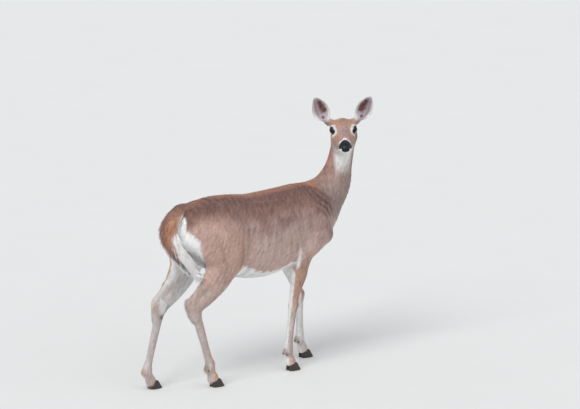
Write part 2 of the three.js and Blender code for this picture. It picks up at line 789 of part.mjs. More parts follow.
// Legs
for (const key of legKeys) {
  const leg = legs[key];
  const { knee, hock, fetlock, elbow, stifle } = leg;
  const cuts = planesOf[key];
  const s = sideOf(key);
  const outside = halfSpace([s * 2, 0, 0], [s, 0, 0]);
  const mine = region(cuts.upper, -HALF).intersect(outside);
  const joint = knee ?? hock;
  let foot = meshAlong(joint, fetlock, [-38, -64, -60], [38, 84, 112], [12.6, 12.3, 37]);
  foot = foot.intersect(region([cuts.joint, cuts.ankle], -HALF));
  for (const grown of dewclaws(leg, GAP)) foot = foot.subtract(grown);
  add(`${key}_foot`, foot, coat);
  const sole = region([cuts.ankle], HALF);
  toes(leg).forEach((toe, i) => add(`${key}_hoof_${i + 1}`, toe.subtract(sole), horn));
  dewclaws(leg).forEach((claw, i) => add(`${key}_dewclaw_${i + 1}`, claw, horn));
  const above = region([cuts.joint], HALF);
  if (knee) {
    const arm = meshAlong(elbow, knee, [-96, -140, -190], [96, 190, 40], [21.3, 21, 34]);
    add(`${key}_forearm`, arm.intersect(mine).subtract(above), coat);
  } else {
    const [near, far] = s < 0 ? [-180, 0] : [0, 180];
    const thigh = meshField(body, [near, 10, 420], [far, 460, 800], [27, 28, 30]);
    add(`${key}_thigh`, thigh.intersect(mine).subtract(region([cuts.stifle], HALF)), coat);
    const shank = meshAlong(stifle, hock, [-64, -140, -150], [64, 90, 50], [18.2, 18, 32]);
    const lower = region([cuts.stifle], -HALF).intersect(mine);
    add(`${key}_shank`, shank.intersect(lower).subtract(above), coat);
  }
}

// The floor is at zero and the origin is in the middle of the deer's outline on it.
const box = new THREE.Box3().setFromObject(deer);
const centre = box.getCenter(new THREE.Vector3());
deer.position.set(-centre.x, -centre.y, -box.min.z);

export default deer;
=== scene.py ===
"""A white-tailed deer doe in her autumn coat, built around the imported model.

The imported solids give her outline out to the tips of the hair. Here one skin, a few millimetres inside
them, replaces the nodes of flesh, and tufts of mesh hair lie over it. Shapes are worked out in millimetres
in the doe's own frame (+X her left side, -Y ahead, +Z up) and moved into the model's frame, in metres, as
meshes are made.
"""

import math
from contextlib import contextmanager

import bmesh
import bpy
import numpy as np
from mathutils import Matrix, Vector


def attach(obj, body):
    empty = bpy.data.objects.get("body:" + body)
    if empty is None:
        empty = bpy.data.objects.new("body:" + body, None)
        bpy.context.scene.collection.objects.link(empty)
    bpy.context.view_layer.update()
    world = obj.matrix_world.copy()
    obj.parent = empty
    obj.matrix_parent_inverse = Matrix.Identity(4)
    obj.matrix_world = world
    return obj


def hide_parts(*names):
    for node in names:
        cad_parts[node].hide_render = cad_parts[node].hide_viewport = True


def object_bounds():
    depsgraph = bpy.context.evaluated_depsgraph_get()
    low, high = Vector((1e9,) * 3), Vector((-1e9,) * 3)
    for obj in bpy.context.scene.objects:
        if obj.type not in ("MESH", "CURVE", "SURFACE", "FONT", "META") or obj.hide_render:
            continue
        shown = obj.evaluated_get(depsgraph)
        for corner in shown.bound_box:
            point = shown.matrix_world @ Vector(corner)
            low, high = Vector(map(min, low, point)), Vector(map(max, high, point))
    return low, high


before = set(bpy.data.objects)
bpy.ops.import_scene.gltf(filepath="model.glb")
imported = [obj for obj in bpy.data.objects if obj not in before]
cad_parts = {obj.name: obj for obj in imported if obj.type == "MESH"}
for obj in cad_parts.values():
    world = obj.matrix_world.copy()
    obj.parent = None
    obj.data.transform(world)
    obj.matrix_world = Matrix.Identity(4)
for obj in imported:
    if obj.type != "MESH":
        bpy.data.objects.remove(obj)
cad_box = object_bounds()
rng = np.random.default_rng(41)

# ---------------------------------------------------------------- her measurements, in millimetres

SHIFT = np.array([42.1618, 32.0267, 0.0])  # from her own frame to the model's

WITHERS, LOIN, RUMP, BELLY, BARREL = 818, 807, 824, 430, 150
HEAD_TURN, HEAD_PITCH, HEAD_TILT = 127.5, 7, 2
EYES = (-100, -447, 1044)
EYE_RADIUS, EYE_ASIDE, EYE_BACK, EYE_UP = 16, 45, 160, 20
EAR_ROOT, EAR_LENGTH, EAR_WIDTH = (64, 232, 38), 130.2, 82
HOOF_TOP = 42
NECK_TOP = (-34, -512, 1000)

LEGS = {
    "fore_right": {
        "scapula": (-62, -330, 740),
        "shoulder": (-86, -343, 600),
        "elbow": (-92, -214, 500),
        "knee": (-75, -182, 300),
        "fetlock": (-70, -160, 104),
        "toe": (-70, -190, 0),
    },
    "fore_left": {
        "scapula": (62, -338, 740),
        "shoulder": (88, -378, 594),
        "elbow": (92, -272, 488),
        "knee": (73, -340, 296),
        "fetlock": (69, -342, 104),
        "toe": (70, -380, 0),
    },
    "hind_right": {
        "hip": (-82, 262, 706),
        "pin": (-58, 306, 700),
        "ham": (-92, 280, 620),
        "crease": (-90, 262, 545),
        "stifle": (-108, 156, 560),
        "hock": (-74, 366, 366),
        "fetlock": (-70, 280, 104),
        "toe": (-70, 240, 0),
    },
    "hind_left": {
        "hip": (82, 275, 706),
        "pin": (58, 306, 700),
        "ham": (92, 322, 612),
        "crease": (90, 328, 525),
        "stifle": (108, 202, 548),
        "hock": (80, 430, 352),
        "fetlock": (76, 508, 92),
        "toe": (77, 466, 0),
    },
}

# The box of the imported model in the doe's frame, a hair's breadth in: no tuft reaches past it.
OUTLINE = [np.array(corner) * 1000 - SHIFT + inward for corner, inward in zip(cad_box, (0.3, -0.3))]

# ---------------------------------------------------------------- small sums


def unit(v):
    return v / np.maximum(np.linalg.norm(v, axis=-1, keepdims=True), 1e-9)


def ease(x, low, high):
    """0 at low, 1 at high, with a soft start and end."""
    t = np.clip((x - low) / (high - low), 0, 1)
    return t * t * (3 - 2 * t)


def fade(x, low, high):
    """1 at low, 0 at high."""
    return 1 - ease(x, low, high)


def hill(x, centre, half):
    return np.exp(-(((x - centre) / half) ** 2))


def far(P, centre, size=1):
    """How far each point lies from a centre, in shares of a size that may differ along each axis."""
    return np.linalg.norm((P - centre) / np.array(size), axis=1)


def rgb(r, g, b):
    """A colour written as 0 to 255, in linear light."""
    c = np.array([r, g, b], float) / 255
    return np.where(c <= 0.04045, c / 12.92, ((c + 0.055) / 1.055) ** 2.4)


def ripple(P, size, seed, waves=14):
    """Smooth blotches about `size` mm across, from -1 to 1."""
    own = np.random.default_rng(seed)
    k = unit(own.normal(size=(waves, 3))) * own.uniform(0.6, 1.5, (waves, 1)) * (math.pi / size)
    turn = own.uniform(0, 2 * math.pi, waves)
    return np.clip(np.sin(P @ k.T + turn).sum(1) / math.sqrt(waves) / 1.1, -1, 1)


def between(a, b, t, off=(0, 0, 0)):
    return tuple(a[i] + (b[i] - a[i]) * t + off[i] for i in range(3))


# ---------------------------------------------------------------- the body as a field


def spline(rows, steps):
    """Points along a Catmull-Rom curve through rows of numbers, `steps` to a span."""
    p = np.array(rows, float)
    p = np.vstack([2 * p[0] - p[1], p, 2 * p[-1] - p[-2]])
    out = []
    for i in range(1, len(p) - 2):
        a, b, c, d = p[i - 1 : i + 3]
        v, w = (c - a) / 2, (d - b) / 2
        for k in range(steps):
            t = k / steps
            out.append((2 * b - 2 * c + v + w) * t**3 + (3 * c - 3 * b - 2 * v - w) * t**2 + v * t + b)
    return np.array(out + [p[-2]])


class Sweep:
    """A tube of elliptical sections along a spline. A station is x, y, z, half width, half depth."""

    FAR = 90  # beyond this from its stations, a sweep only says how far off it is

    def __init__(self, soft, stations, side=(1, 0, 0), egg=0.0, square=2.0, steps=4, flow=1):
        s = spline(stations, steps)
        self.soft, self.egg, self.square, self.flow = soft, egg, square, flow
        self.a = s[:-1, :3]
        run = s[1:, :3] - self.a
        self.length = np.linalg.norm(run, axis=1)
        self.axis = run / self.length[:, None]
        self.across = unit(np.array(side) - self.axis * (self.axis @ np.array(side, float))[:, None])
        self.up = unit(np.cross(self.across, self.axis))
        self.up[self.up[:, 2] < 0] *= -1
        self.size = s[:, 3:]
        at = np.array(stations, float)
        reach = 1.1 * at[:, 3:].max(1, keepdims=True)
        self.low, self.high = (at[:, :3] - reach).min(0), (at[:, :3] + reach).max(0)

    def near(self, P):
        """Each point's distance to the surface, its share of the way along, and the link that it lies by."""
        value = np.linalg.norm(np.maximum(np.maximum(self.low - P, P - self.high), 0), axis=1)
        share, link = np.zeros(len(P)), np.zeros(len(P), int)
        close = np.nonzero(value <= self.FAR)[0]
        Q = P[close]
        best = np.full(len(Q), np.inf)
        for i, axis in enumerate(self.axis):
            q = Q - self.a[i]
            along = np.clip(q @ axis, 0, self.length[i])
            t = along / self.length[i]
            size = np.maximum(self.size[i] + (self.size[i + 1] - self.size[i]) * t[:, None], 1)
            wide, deep = size.T
            d = q - along[:, None] * axis
            v = d @ self.up[i] / deep
            u = d @ self.across[i] / (wide * (1 - self.egg * np.clip(v, -1, 1)))
            s = d @ axis / np.minimum(wide, deep)
            away = np.linalg.norm(d, axis=1)
            n = self.square
            ring = u * u + v * v if n == 2 else (np.abs(u) ** n + np.abs(v) ** n) ** (2 / n)
            ring = np.maximum(np.sqrt(ring + s * s), 1e-6)
            found = (ring - 1) * away / ring
            better = found < best
            best[better] = found[better]
            share[close[better]] = (i + t[better]) / len(self.axis)
            link[close[better]] = i
        value[close] = best
        return value, share, link


# Each row: how far back it is, the top, the bottom, and the half width.
TRUNK_ROWS = [
    (-426, 712, BELLY + 140, 44),
    (-370, WITHERS - 30, BELLY + 80, 78),
    (-285, WITHERS - 1, BELLY + 58, 106),
    (-190, LOIN + 7, BELLY + 38, 132),
    (-80, LOIN + 1, BELLY + 6, BARREL - 2),
    (20, LOIN, BELLY + 2, BARREL),
    (140, RUMP - 3, 470, 126),
    (240, RUMP, 520, 112),
    (336, 796, 588, 74),
    (380, 748, 640, 36),
]


def trunk_line(y, column):
    return np.interp(y, [row[0] for row in TRUNK_ROWS], [row[column] for row in TRUNK_ROWS])


def trunk_form():
    stations = [(0, y, (top + low) / 2, half, (top - low) / 2) for y, top, low, half in reversed(TRUNK_ROWS)]
    return Sweep(1, stations, egg=0.12, square=2.25, flow=-1)


def on(bone, t, wide, deep, x=0, y=0, z=0):
    """A station at share t along a bone, moved by x, y and z."""
    return (*between(*bone, t, (x, y, z)), wide, deep)


def foreleg(j):
    out = math.copysign(1, j["elbow"][0])
    blade, arm = (j["scapula"], j["shoulder"]), (j["shoulder"], j["elbow"])
    upper, lower, foot = (j["elbow"], j["knee"]), (j["knee"], j["fetlock"]), (j["fetlock"], j["toe"])
    return [
        Sweep(60, [on(blade, 0, 26, 66, y=10), on(blade, 0.55, 36, 74, y=20), on(blade, 1, 36, 58, y=22)]),
        Sweep(50, [
            on(arm, 0, 34, 48),
            on(arm, 0.5, 36, 58, y=8, z=12),
            on(arm, 1, 31, 46, x=-out * 2, y=4, z=10),
        ]),
        Sweep(34, [
            on(upper, 0, 30, 50, y=8, z=24),
            on(upper, 0.3, 30, 43, y=-2),
            on(upper, 0.65, 23, 29),
            on(upper, 0.9, 20, 23),
            on(lower, 0.02, 23, 25, y=-2),
            on(lower, 0.18, 19, 22),
            on(lower, 0.45, 15.5, 18.5),
            on(lower, 0.8, 15.5, 18.5),
            on(lower, 1, 19, 22),
            on(foot, 0.3, 19, 19, y=6),
            on(foot, 0.62, 23, 25, y=8),
        ]),
    ]


def hindleg(j):
    out = math.copysign(1, j["hip"][0])
    thigh, gaskin = (j["hip"], j["stifle"]), (j["stifle"], j["hock"])
    lower, foot = (j["hock"], j["fetlock"]), (j["fetlock"], j["toe"])
    return [
        Sweep(60, [
            on(thigh, -0.2, 40, 70, x=-out * 10, y=10),
            on(thigh, 0.3, 52, 96, x=out * 2, y=16),
            on(thigh, 0.8, 44, 78, y=22, z=4),
        ]),
        Sweep(50, [
            (*j["pin"], 38, 46),
            (*j["ham"], 42, 48),
            (*j["crease"], 32, 40),
            on((j["crease"], j["hock"]), 0.42, 13, 15, y=12),
        ]),
        Sweep(40, [
            on(gaskin, 0.0, 38, 55, x=-out * 8, y=6, z=4),
            on(gaskin, 0.25, 36, 59, x=-out * 6, y=3, z=1),
            on(gaskin, 0.52, 28, 53, x=-out * 2, y=-6, z=-5),
            on(gaskin, 0.8, 21, 39, y=-8, z=-7),
            on(gaskin, 0.98, 20, 29, y=-2, z=-2),
        ]),
        Sweep(26, [
            on(gaskin, 0.7, 12, 13, y=34, z=27),
            on(gaskin, 0.9, 13, 15, y=32, z=24),
            on(gaskin, 1, 15, 18, y=31, z=20),
            on(lower, 0.16, 14, 15, y=16),
        ]),
        Sweep(26, [
            on(lower, -0.02, 21, 27),
            on(lower, 0.14, 19, 25, y=3),
            on(lower, 0.36, 15.5, 20),
            on(lower, 0.84, 15, 17),
            on(lower, 1, 19, 23),
            on(foot, 0.3, 19, 19, y=6),
            on(foot, 0.62, 23, 25, y=8),
        ]),
    ]


NECK = Sweep(60, [
    (0, -312, 650, 70, 112),
    (0, -406, 712, 72, 108),
    (0, -476, 786, 62, 92),
    (-6, -503, 866, 52, 70),
    (-18, -512, 940, 50, 62),
    (*NECK_TOP, 50, 56),
], steps=5, flow=-1)

TAIL = Sweep(12, [
    (0, 300, 774, 24, 28),
    (0, 368, 788, 32, 25),
    (3, 412, 752, 38, 28),
    (6, 428, 698, 42, 29),
    (-4, 417, 636, 40, 26),
    (-30, 388, 577, 32, 20),
    (-58, 358, 526, 14, 9),
])


def tail_middle(z):
    return np.interp(z, [526, 577, 636, 698, 760], [-56, -32, -6, 4, 2])


# The head's own frame: x to her left, y from the nose tip back, z up.
HEAD = (
    Matrix.Translation(EYES)
    @ Matrix.Rotation(math.radians(-HEAD_TURN), 4, "Z")
    @ Matrix.Rotation(math.radians(HEAD_PITCH), 4, "X")
    @ Matrix.Rotation(math.radians(-HEAD_TILT), 4, "Y")
    @ Matrix.Translation((0, -EYE_BACK, -EYE_UP))
)
HEAD_TURNED = np.array(HEAD.to_3x3())
HEAD_PLACE = np.array(HEAD.translation)


def in_head(x, y, z):
    return tuple(HEAD_TURNED @ np.array([x, y, z], float) + HEAD_PLACE)


def from_head(P):
    return P @ HEAD_TURNED.T + HEAD_PLACE


def to_head(P):
    return (P - HEAD_PLACE) @ HEAD_TURNED


def head_forms():
    side = HEAD_TURNED[:, 0]
    skull = [  # how far back, the top, the bottom, the half width
        (9, 2, -38, 24),
        (22, 10, -47, 28.5),
        (48, 15, -54, 29),
        (80, 22, -61.5, 31),
        (112, 32, -67, 37),
        (140, 42, -74, 43),
        (168, 52, -78, 49),
        (205, 57, -80, 50),
        (240, 50, -72, 46),
        (262, 32, -50, 33),
    ]
    stations = [(*in_head(0, y, (top + low) / 2), half, (top - low) / 2) for y, top, low, half in skull]
    throat = [(*in_head(0, 175, -62), 36, 30), (*in_head(0, 225, -66), 42, 44), (*NECK_TOP, 46, 50)]
    forms = [Sweep(40, stations, side=side, egg=-0.04, square=2.2), Sweep(30, throat)]
    brow = [(38, 146, 22, 15, 14), (41.5, 163, 25, 18, 18), (41, 184, 24, 17.5, 16)]
    cheek = [(24, 128, -26, 12, 16), (32, 168, -28, 16, 28), (31, 205, -30, 17, 34)]
    ear_root = [(34, 226, 26, 18, 18), (*EAR_ROOT, 15, 15)]
    for soft, rows, across in ((14, brow, side), (18, cheek, side), (16, ear_root, (1, 0, 0))):
        for s in (-1, 1):
            stations = [(*in_head(s * x, y, z), *size) for x, y, z, *size in rows]
            forms.append(Sweep(soft, stations, side=across))
    return forms


PARTS = {
    "trunk": [trunk_form()],
    **{name: (foreleg if "fore" in name else hindleg)(j) for name, j in LEGS.items()},
    "neck": [NECK],
    "head": head_forms(),
    "tail": [TAIL],
}


def survey(P):
    """The body's field at points P, and for each part its own distance, share along and direction of hair."""
    whole = np.full(len(P), 1e4)
    parts = {}
    for name, forms in PARTS.items():
        least = np.full(len(P), 1e4)
        share, flow = np.zeros(len(P)), np.zeros((len(P), 3))
        for form in forms:
            value, along, link = form.near(P)
            h = np.maximum(form.soft - np.abs(whole - value), 0) / form.soft
            whole = np.minimum(whole, value) - h * h * form.soft / 4
            better = value < least
            least[better] = value[better]
            share[better] = along[better]
            flow[better] = form.flow * form.axis[link[better]]
        parts[name] = (least, share, flow)
    return whole, parts


def body(P):
    return survey(P)[0]


def body_slope(P, d):
    """The way in which the body's field rises at points where it is d."""
    return np.stack([(body(P + step) - d) / 0.5 for step in np.eye(3) * 0.5], 1)


BLEND = 9  # how far one part's hold on the skin reaches into the next part's, in millimetres


def nearness(parts):
    """How much each part holds each point, as shares that add up to one."""
    values = np.stack([value for value, _, _ in parts.values()], 1)
    w = np.exp(-(values - values.min(1, keepdims=True)) / BLEND)
    w /= w.sum(1, keepdims=True)
    return {name: w[:, i] for i, name in enumerate(parts)}


def coat_depth(P, hold):
    """How far the skin lies inside the outline: 7 mm on the body, 2.2 on the face and the lower legs."""
    depth = (hold["trunk"] + hold["neck"]) * 7 + hold["tail"] * (9 - 6.5 * TAIL.near(P)[1])
    depth += hold["head"] * (2.2 + 4.5 * ease(to_head(P)[:, 1], 190, 270))
    depth += sum(hold[name] for name in LEGS) * (2.2 + 4.3 * ease(P[:, 2], 430, 570))
    return depth


# ---------------------------------------------------------------- meshes


def to_model(P):
    return (P + SHIFT) / 1000


def read(items, key, width=3, kind=float):
    """One property of every item in a collection, as rows of numbers."""
    values = np.empty(len(items) * width, kind)
    items.foreach_get(key, values)
    return values.reshape(-1, width)


def points_of(mesh):
    return read(mesh.vertices, "co") * 1000 - SHIFT


def put_points(mesh, P):
    mesh.vertices.foreach_set("co", to_model(P).ravel())
    mesh.update()


def normals_of(mesh):
    return read(mesh.vertices, "normal")


def shade_smooth(mesh):
    mesh.polygons.foreach_set("use_smooth", np.ones(len(mesh.polygons), bool))


def set_colour(mesh, colours):
    """The coat's colour at each vertex, as linear light."""
    layer = mesh.color_attributes.new("Coat", "FLOAT_COLOR", "POINT")
    layer.data.foreach_set("color", np.hstack([colours, np.ones((len(colours), 1))]).ravel())


def new_piece(name, mesh, slot, *replaced):
    piece = bpy.data.objects.new(name, mesh)
    bpy.context.scene.collection.objects.link(piece)
    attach(piece, "root")
    if replaced:
        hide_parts(*replaced)
    return piece


def mesh_from(name, P, faces):
    """A mesh of vertices in the doe's frame and faces that all have the same number of corners."""
    faces = np.asarray(faces, np.int32)
    mesh = bpy.data.meshes.new(name)
    mesh.vertices.add(len(P))
    mesh.vertices.foreach_set("co", to_model(P).ravel())
    mesh.loops.add(faces.size)
    mesh.loops.foreach_set("vertex_index", faces.ravel())
    mesh.polygons.add(len(faces))
    mesh.polygons.foreach_set("loop_start", np.arange(0, faces.size, faces.shape[1], dtype=np.int32))
    mesh.update(calc_edges=True)
    shade_smooth(mesh)
    return mesh


def strip(rings, spokes):
    """The four-sided faces between rings of points that go right round."""
    a = np.arange(rings - 1)[:, None] * spokes + np.arange(spokes)
    b = np.arange(rings - 1)[:, None] * spokes + (np.arange(spokes) + 1) % spokes
    a, b = a.ravel(), b.ravel()
    return np.stack([a, b, b + spokes, a + spokes], 1)


def evaluated(piece):
    """The mesh that an object's modifiers make; the object itself is removed."""
    bpy.context.scene.collection.objects.link(piece)
    made = bpy.data.meshes.new_from_object(piece.evaluated_get(bpy.context.evaluated_depsgraph_get()))
    bpy.data.objects.remove(piece)
    return made


@contextmanager
def editing(mesh):
    """A mesh's points and faces to work on, written back to it when the block ends."""
    bm = bmesh.new()
    bm.from_mesh(mesh)
    yield bm
    bm.to_mesh(mesh)
    bm.free()


def smooth(bm, verts, times, factor=0.5):
    axes = {f"use_axis_{axis}": True for axis in "xyz"}
    for _ in range(times):
        bmesh.ops.smooth_vert(bm, verts=verts, factor=factor, **axes)


def fill_holes(bm):
    bmesh.ops.holes_fill(bm, edges=[e for e in bm.edges if e.is_boundary])


FLESH = [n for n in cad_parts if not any(w in n for w in ("hoof", "dewclaw", "eye", "nose", "ear_"))]
EARS = ["ear_left", "ear_right"]
GROWN = 0.0015  # how much each solid of flesh is grown, in metres, so that they run together


def rough_skin(voxel):
    """One closed mesh round copies of the flesh solids."""
    joined = bmesh.new()
    for name in FLESH:
        part = bmesh.new()
        part.from_mesh(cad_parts[name].data)
        bmesh.ops.remove_doubles(part, verts=part.verts, dist=1e-5)
        part.normal_update()
        normals = [v.normal.copy() for v in part.verts]
        for v, n in zip(part.verts, normals):
            v.co += n * GROWN
        mesh = bpy.data.meshes.new("part")
        part.to_mesh(mesh)
        joined.from_mesh(mesh)
        bpy.data.meshes.remove(mesh)
    mesh = bpy.data.meshes.new("rough")
    joined.to_mesh(mesh)
    rough = bpy.data.objects.new("rough", mesh)
    remesh = rough.modifiers.new("remesh", "REMESH")
    remesh.mode, remesh.voxel_size = "VOXEL", voxel
    return evaluated(rough)


def settle(mesh, P, depth):
    """Moves a mesh's points along its normals onto the surface `depth` inside the body's outline."""
    for _ in range(3):
        P = P - normals_of(mesh) * np.clip(body(P) + depth, -5, 5)[:, None]
        put_points(mesh, P)
    return P


def mend(mesh, P, depth):
    """Smooths out the places where the first mesh was folded or stood far from the body's surface."""
    d = body(P)
    bad = (np.abs(d + depth) > 2) | ((unit(body_slope(P, d)) * normals_of(mesh)).sum(1) < 0.6)
    with editing(mesh) as bm:
        bm.verts.ensure_lookup_table()
        sore = {bm.verts[i] for i in np.nonzero(bad)[0]}
        for _ in range(3):
            sore |= {e.other_vert(v) for v in sore for e in v.link_edges}
        smooth(bm, list(sore), 25)
        index = np.array(sorted(v.index for v in sore), int)
    P = points_of(mesh)
    for _ in range(4):
        at = P[index]
        d = body(at)
        slope = body_slope(at, d)
        step = ((d + depth[index]) / np.maximum((slope**2).sum(1), 0.1))[:, None] * slope
        P[index] = at - step / np.maximum(np.linalg.norm(step, axis=1, keepdims=True) / 5, 1)
    put_points(mesh, P)
    return P


def relax(mesh, amount):
    with editing(mesh) as bm:
        smooth(bm, bm.verts, 2, amount)


def refine(mesh, wanted):
    """Splits the edges of every face whose middle `wanted` picks."""
    with editing(mesh) as bm:
        faces = list(bm.faces)
        middles = np.array([f.calc_center_median() for f in faces]) * 1000 - SHIFT
        edges = {e for f, w in zip(faces, wanted(middles)) if w for e in f.edges}
        bmesh.ops.subdivide_edges(bm, edges=list(edges), cuts=1, use_grid_fill=True)
        bmesh.ops.triangulate(bm, faces=[f for f in bm.faces if len(f.verts) > 4])


def by_the_eyes(h, aside, back, reach):
    return np.min([far(h, (s * aside, back, 20)) for s in (-1, 1)], 0) < reach


def on_face(P):
    h = to_head(P)
    return (h[:, 1] < 245) & (np.abs(h[:, 0]) < 85) & (h[:, 2] > -95) & (h[:, 2] < 80)


def on_features(P):
    """Round the eyes, and the nose and mouth."""
    h = to_head(P)
    return on_face(P) & (by_the_eyes(h, 50, 152, 33) | (h[:, 1] < 60))


def on_eyelids(P):
    return by_the_eyes(to_head(P), 52, 151, 25)


# ---------------------------------------------------------------- the face's folds

EYE_GAZE = {s: unit(np.array([s * 0.61, -0.785, 0.1])) for s in (-1, 1)}


def eye_centre(s):
    return np.array([s * EYE_ASIDE, EYE_BACK, EYE_UP])


def eye_plan(h, s):
    """Each point's place about one eye: toward the nose, up, outward, and 1 on the rim of the opening."""
    gaze = EYE_GAZE[s]
    ahead = unit(np.cross(gaze, (0, 0, s)))
    up = np.cross(ahead, gaze) * s
    if up[2] < 0:
        up = -up
    if ahead[1] > 0:
        ahead = -ahead
    q = h - eye_centre(s)
    u, w, d = q @ ahead, q @ up, q @ gaze
    w = w + 0.12 * u
    tall = 12.0 * (1 - 0.24 * np.clip(u / 15, 0, 1) ** 2)
    return u, w, d, np.hypot(u / 15.5, w / tall)


def shape_eyes(h):
    for s in (-1, 1):
        _, w, d, rim = eye_plan(h, s)
        q = h - eye_centre(s)
        r = np.maximum(np.linalg.norm(q, axis=1), 1e-6)
        lid = EYE_RADIUS + 1.3 + 0.9 * hill(rim, 1.06, 0.09) + 0.8 * hill(rim, 1.3, 0.14) * (w > 0)
        lid = lid - 1.3 * hill(rim, 1.5, 0.1) * ease(w, 0, 6)
        target = np.where(rim < 0.96, EYE_RADIUS - 4, lid + (r - lid) * ease(rim, 1.15, 2.0))
        inside = (d > -2) & (rim < 2.0) & (r < 42)
        h[inside] = (eye_centre(s) + q / r[:, None] * target[:, None])[inside]
        # the tear gland, a shallow slit ahead of the eye and below it
        away = h - (s * 38.5, 129, 2.0)
        way = unit(np.array([s * 0.3, 0.75, 0.45]))
        along = away @ way
        across = np.linalg.norm(away - along[:, None] * way, axis=1)
        h[:, 0] -= s * 2.6 * hill(along, 0, 9) * hill(across, 0, 3.2)
    return h


def face_height(h):
    """Height in the plane that the muzzle's front is seen in, nose end nearest."""
    return h[:, 2] * 0.946 - (160 - h[:, 1]) * 0.326


# The bare nose's half width at each face height.
PAD_T = [-81.5, -79, -76, -73.5, -72, -66, -60, -54, -48, -42, -36, -31.5, -28, -26.5]
PAD_HALF = [0, 10, 15, 18, 26, 29.5, 29.5, 28.5, 26, 21.5, 16.5, 10.5, 5, 0]


def pad_edge(h, rim=0):
    """Below 0 inside the bare nose, in millimetres about its edge; `rim` moves its back edge backward."""
    t = face_height(h)
    side = np.abs(h[:, 0]) - np.interp(t, PAD_T, PAD_HALF)
    back = np.interp(h[:, 2], [-30, -12, 10], [22, 31, 46]) + rim
    return np.maximum(side * 0.8, np.maximum(t + 27.5, -80.5 - t)) + 60 * ease(h[:, 1] - back, 0, 9)


def lip_patch(h):
    """Below 1 on the white of the upper lip, under each nostril."""
    return np.hypot((np.abs(h[:, 0]) - 22.5) / 6.5, (face_height(h) + 71) / 5.2)


def lip_line(h):
    """Height of the mouth's crease at each place along the muzzle."""
    return -35.5 - 6.5 * ease(h[:, 1], 14, 70)


def shape_muzzle(h):
    x, s, t = np.abs(h[:, 0]), np.sign(h[:, 0]), face_height(h)
    front = fade(h[:, 1], 26, 46)
    # nostrils: a round opening, and a slit that trails off from it outward and up
    hole = np.exp(-((np.hypot((x - 20.5) / 5.8, (t + 58) / 5.0)) ** 4))
    slit = np.exp(-((np.hypot((x - 25.5) / 2.8, (t + 52) / 5.8)) ** 4))
    wing = hill(x, 27, 4) * hill(t, -58, 6) * front
    h[:, 1] += 10.0 * front * np.maximum(hole, 0.7 * slit)
    h[:, 0] += s * 1.4 * wing
    # the pad stands a little proud, with a groove down its middle
    pad = ease(-pad_edge(h), -1.0, 2.0)
    h[:, 1] -= 0.7 * pad - 1.2 * pad * hill(x, 0, 1.7) * ease(-t, 53, 63)
    # the mouth: a crease from under the nose back along the lip
    line = lip_line(h)
    crease = hill(h[:, 2], line, 2.0) * fade(h[:, 1], 66, 84) * (h[:, 2] < -26)
    lip = hill(h[:, 2], line + 6, 4.0) * fade(h[:, 1], 60, 84)
    h[:, 0] -= s * 2.4 * crease * ease(x, 6, 18)
    h[:, 0] += s * 1.1 * lip * ease(x, 6, 18)
    h[:, 1] += 2.6 * crease * front
    return h


def face_relief(h):
    """How far the skin stands out over the bones and muscles of the head."""
    x, y, z = np.abs(h[:, 0]), h[:, 1], h[:, 2]
    lift = -1.8 * hill(y, 196, 14) * hill(z, 30, 12) * ease(x, 25, 45)  # temple
    lift += 1.6 * hill(z, -4 - 0.10 * (y - 150), 6) * hill(y, 160, 34) * ease(x, 25, 45)  # cheekbone
    lift -= 1.6 * hill(y, 104, 20) * hill(z, 0, 10) * ease(x, 14, 26)  # hollow beside the bridge
    lift += 1.2 * hill(x, 0, 9) * ease(z, 0, 20) * hill(y, 90, 55)  # bridge
    lift -= 1.2 * hill(x, 0, 10) * ease(z, 20, 40) * hill(y, 178, 26)  # dip of the forehead
    lift -= 1.7 * hill(z, -52 + 0.1 * (y - 120), 6) * hill(y, 120, 28)  # above the jaw line
    lift += 1.4 * hill(x, 30, 9) * hill(z, 45, 10) * hill(y, 160, 18)  # brow
    return lift


# ---------------------------------------------------------------- the body's folds


def fold_turn(P):
    """Goes round once for each fold of skin between the neck and the shoulder."""
    return (0.78 * P[:, 1] - 0.627 * P[:, 2] + 13 * ripple(P, 80, 12)) / 29 * 2 * math.pi


def neck_folds(P):
    """Where the skin is folded: on her right, where the neck turns back on the shoulder."""
    x, y, z = P.T
    across, along = 0.78 * y - 0.627 * z, -0.627 * y - 0.78 * z
    return hill(across, -738, 42) * hill(along, -345, 100) * fade(x, -40, -12)


def flank_crease(z):
    """Where, along her length, the thigh meets the flank at each height."""
    return 112 + 0.0009 * (z - 650) ** 2


def leg_relief(lift, P, name, j, held):
    """Adds a leg's tendons, and the pads that the dewclaws sit on, to `lift`."""
    y, z = P[:, 1], P[:, 2]
    hind = "hind" in name
    top, foot = j["hock" if hind else "knee"], j["fetlock"]
    t = (z - foot[2]) / (top[2] - foot[2])
    behind = y - (foot[1] + (top[1] - foot[1]) * t)
    # a groove between the cannon bone and the cord behind it
    lift -= 1.7 * (held * ease(t, 0.08, 0.2) * fade(t, 0.82, 0.95)) * hill(behind, 5.5, 3.2)
    if hind:  # the hollow ahead of the tendon that stands out above the hock
        g = (z - top[2]) / (j["stifle"][2] - top[2])
        middle = top[1] + (j["stifle"][1] - top[1]) * g
        lift -= 4.2 * held * hill(y - middle, 19 + 16 * g, 8) * hill(g, 0.26, 0.2)
    for s in (-1, 1):
        claw = between(foot, j["toe"], 0.24, (s * 11, 20, 9))
        lift += 5.5 * np.exp(-(((P - claw) ** 2).sum(1)) / 11.5**2)


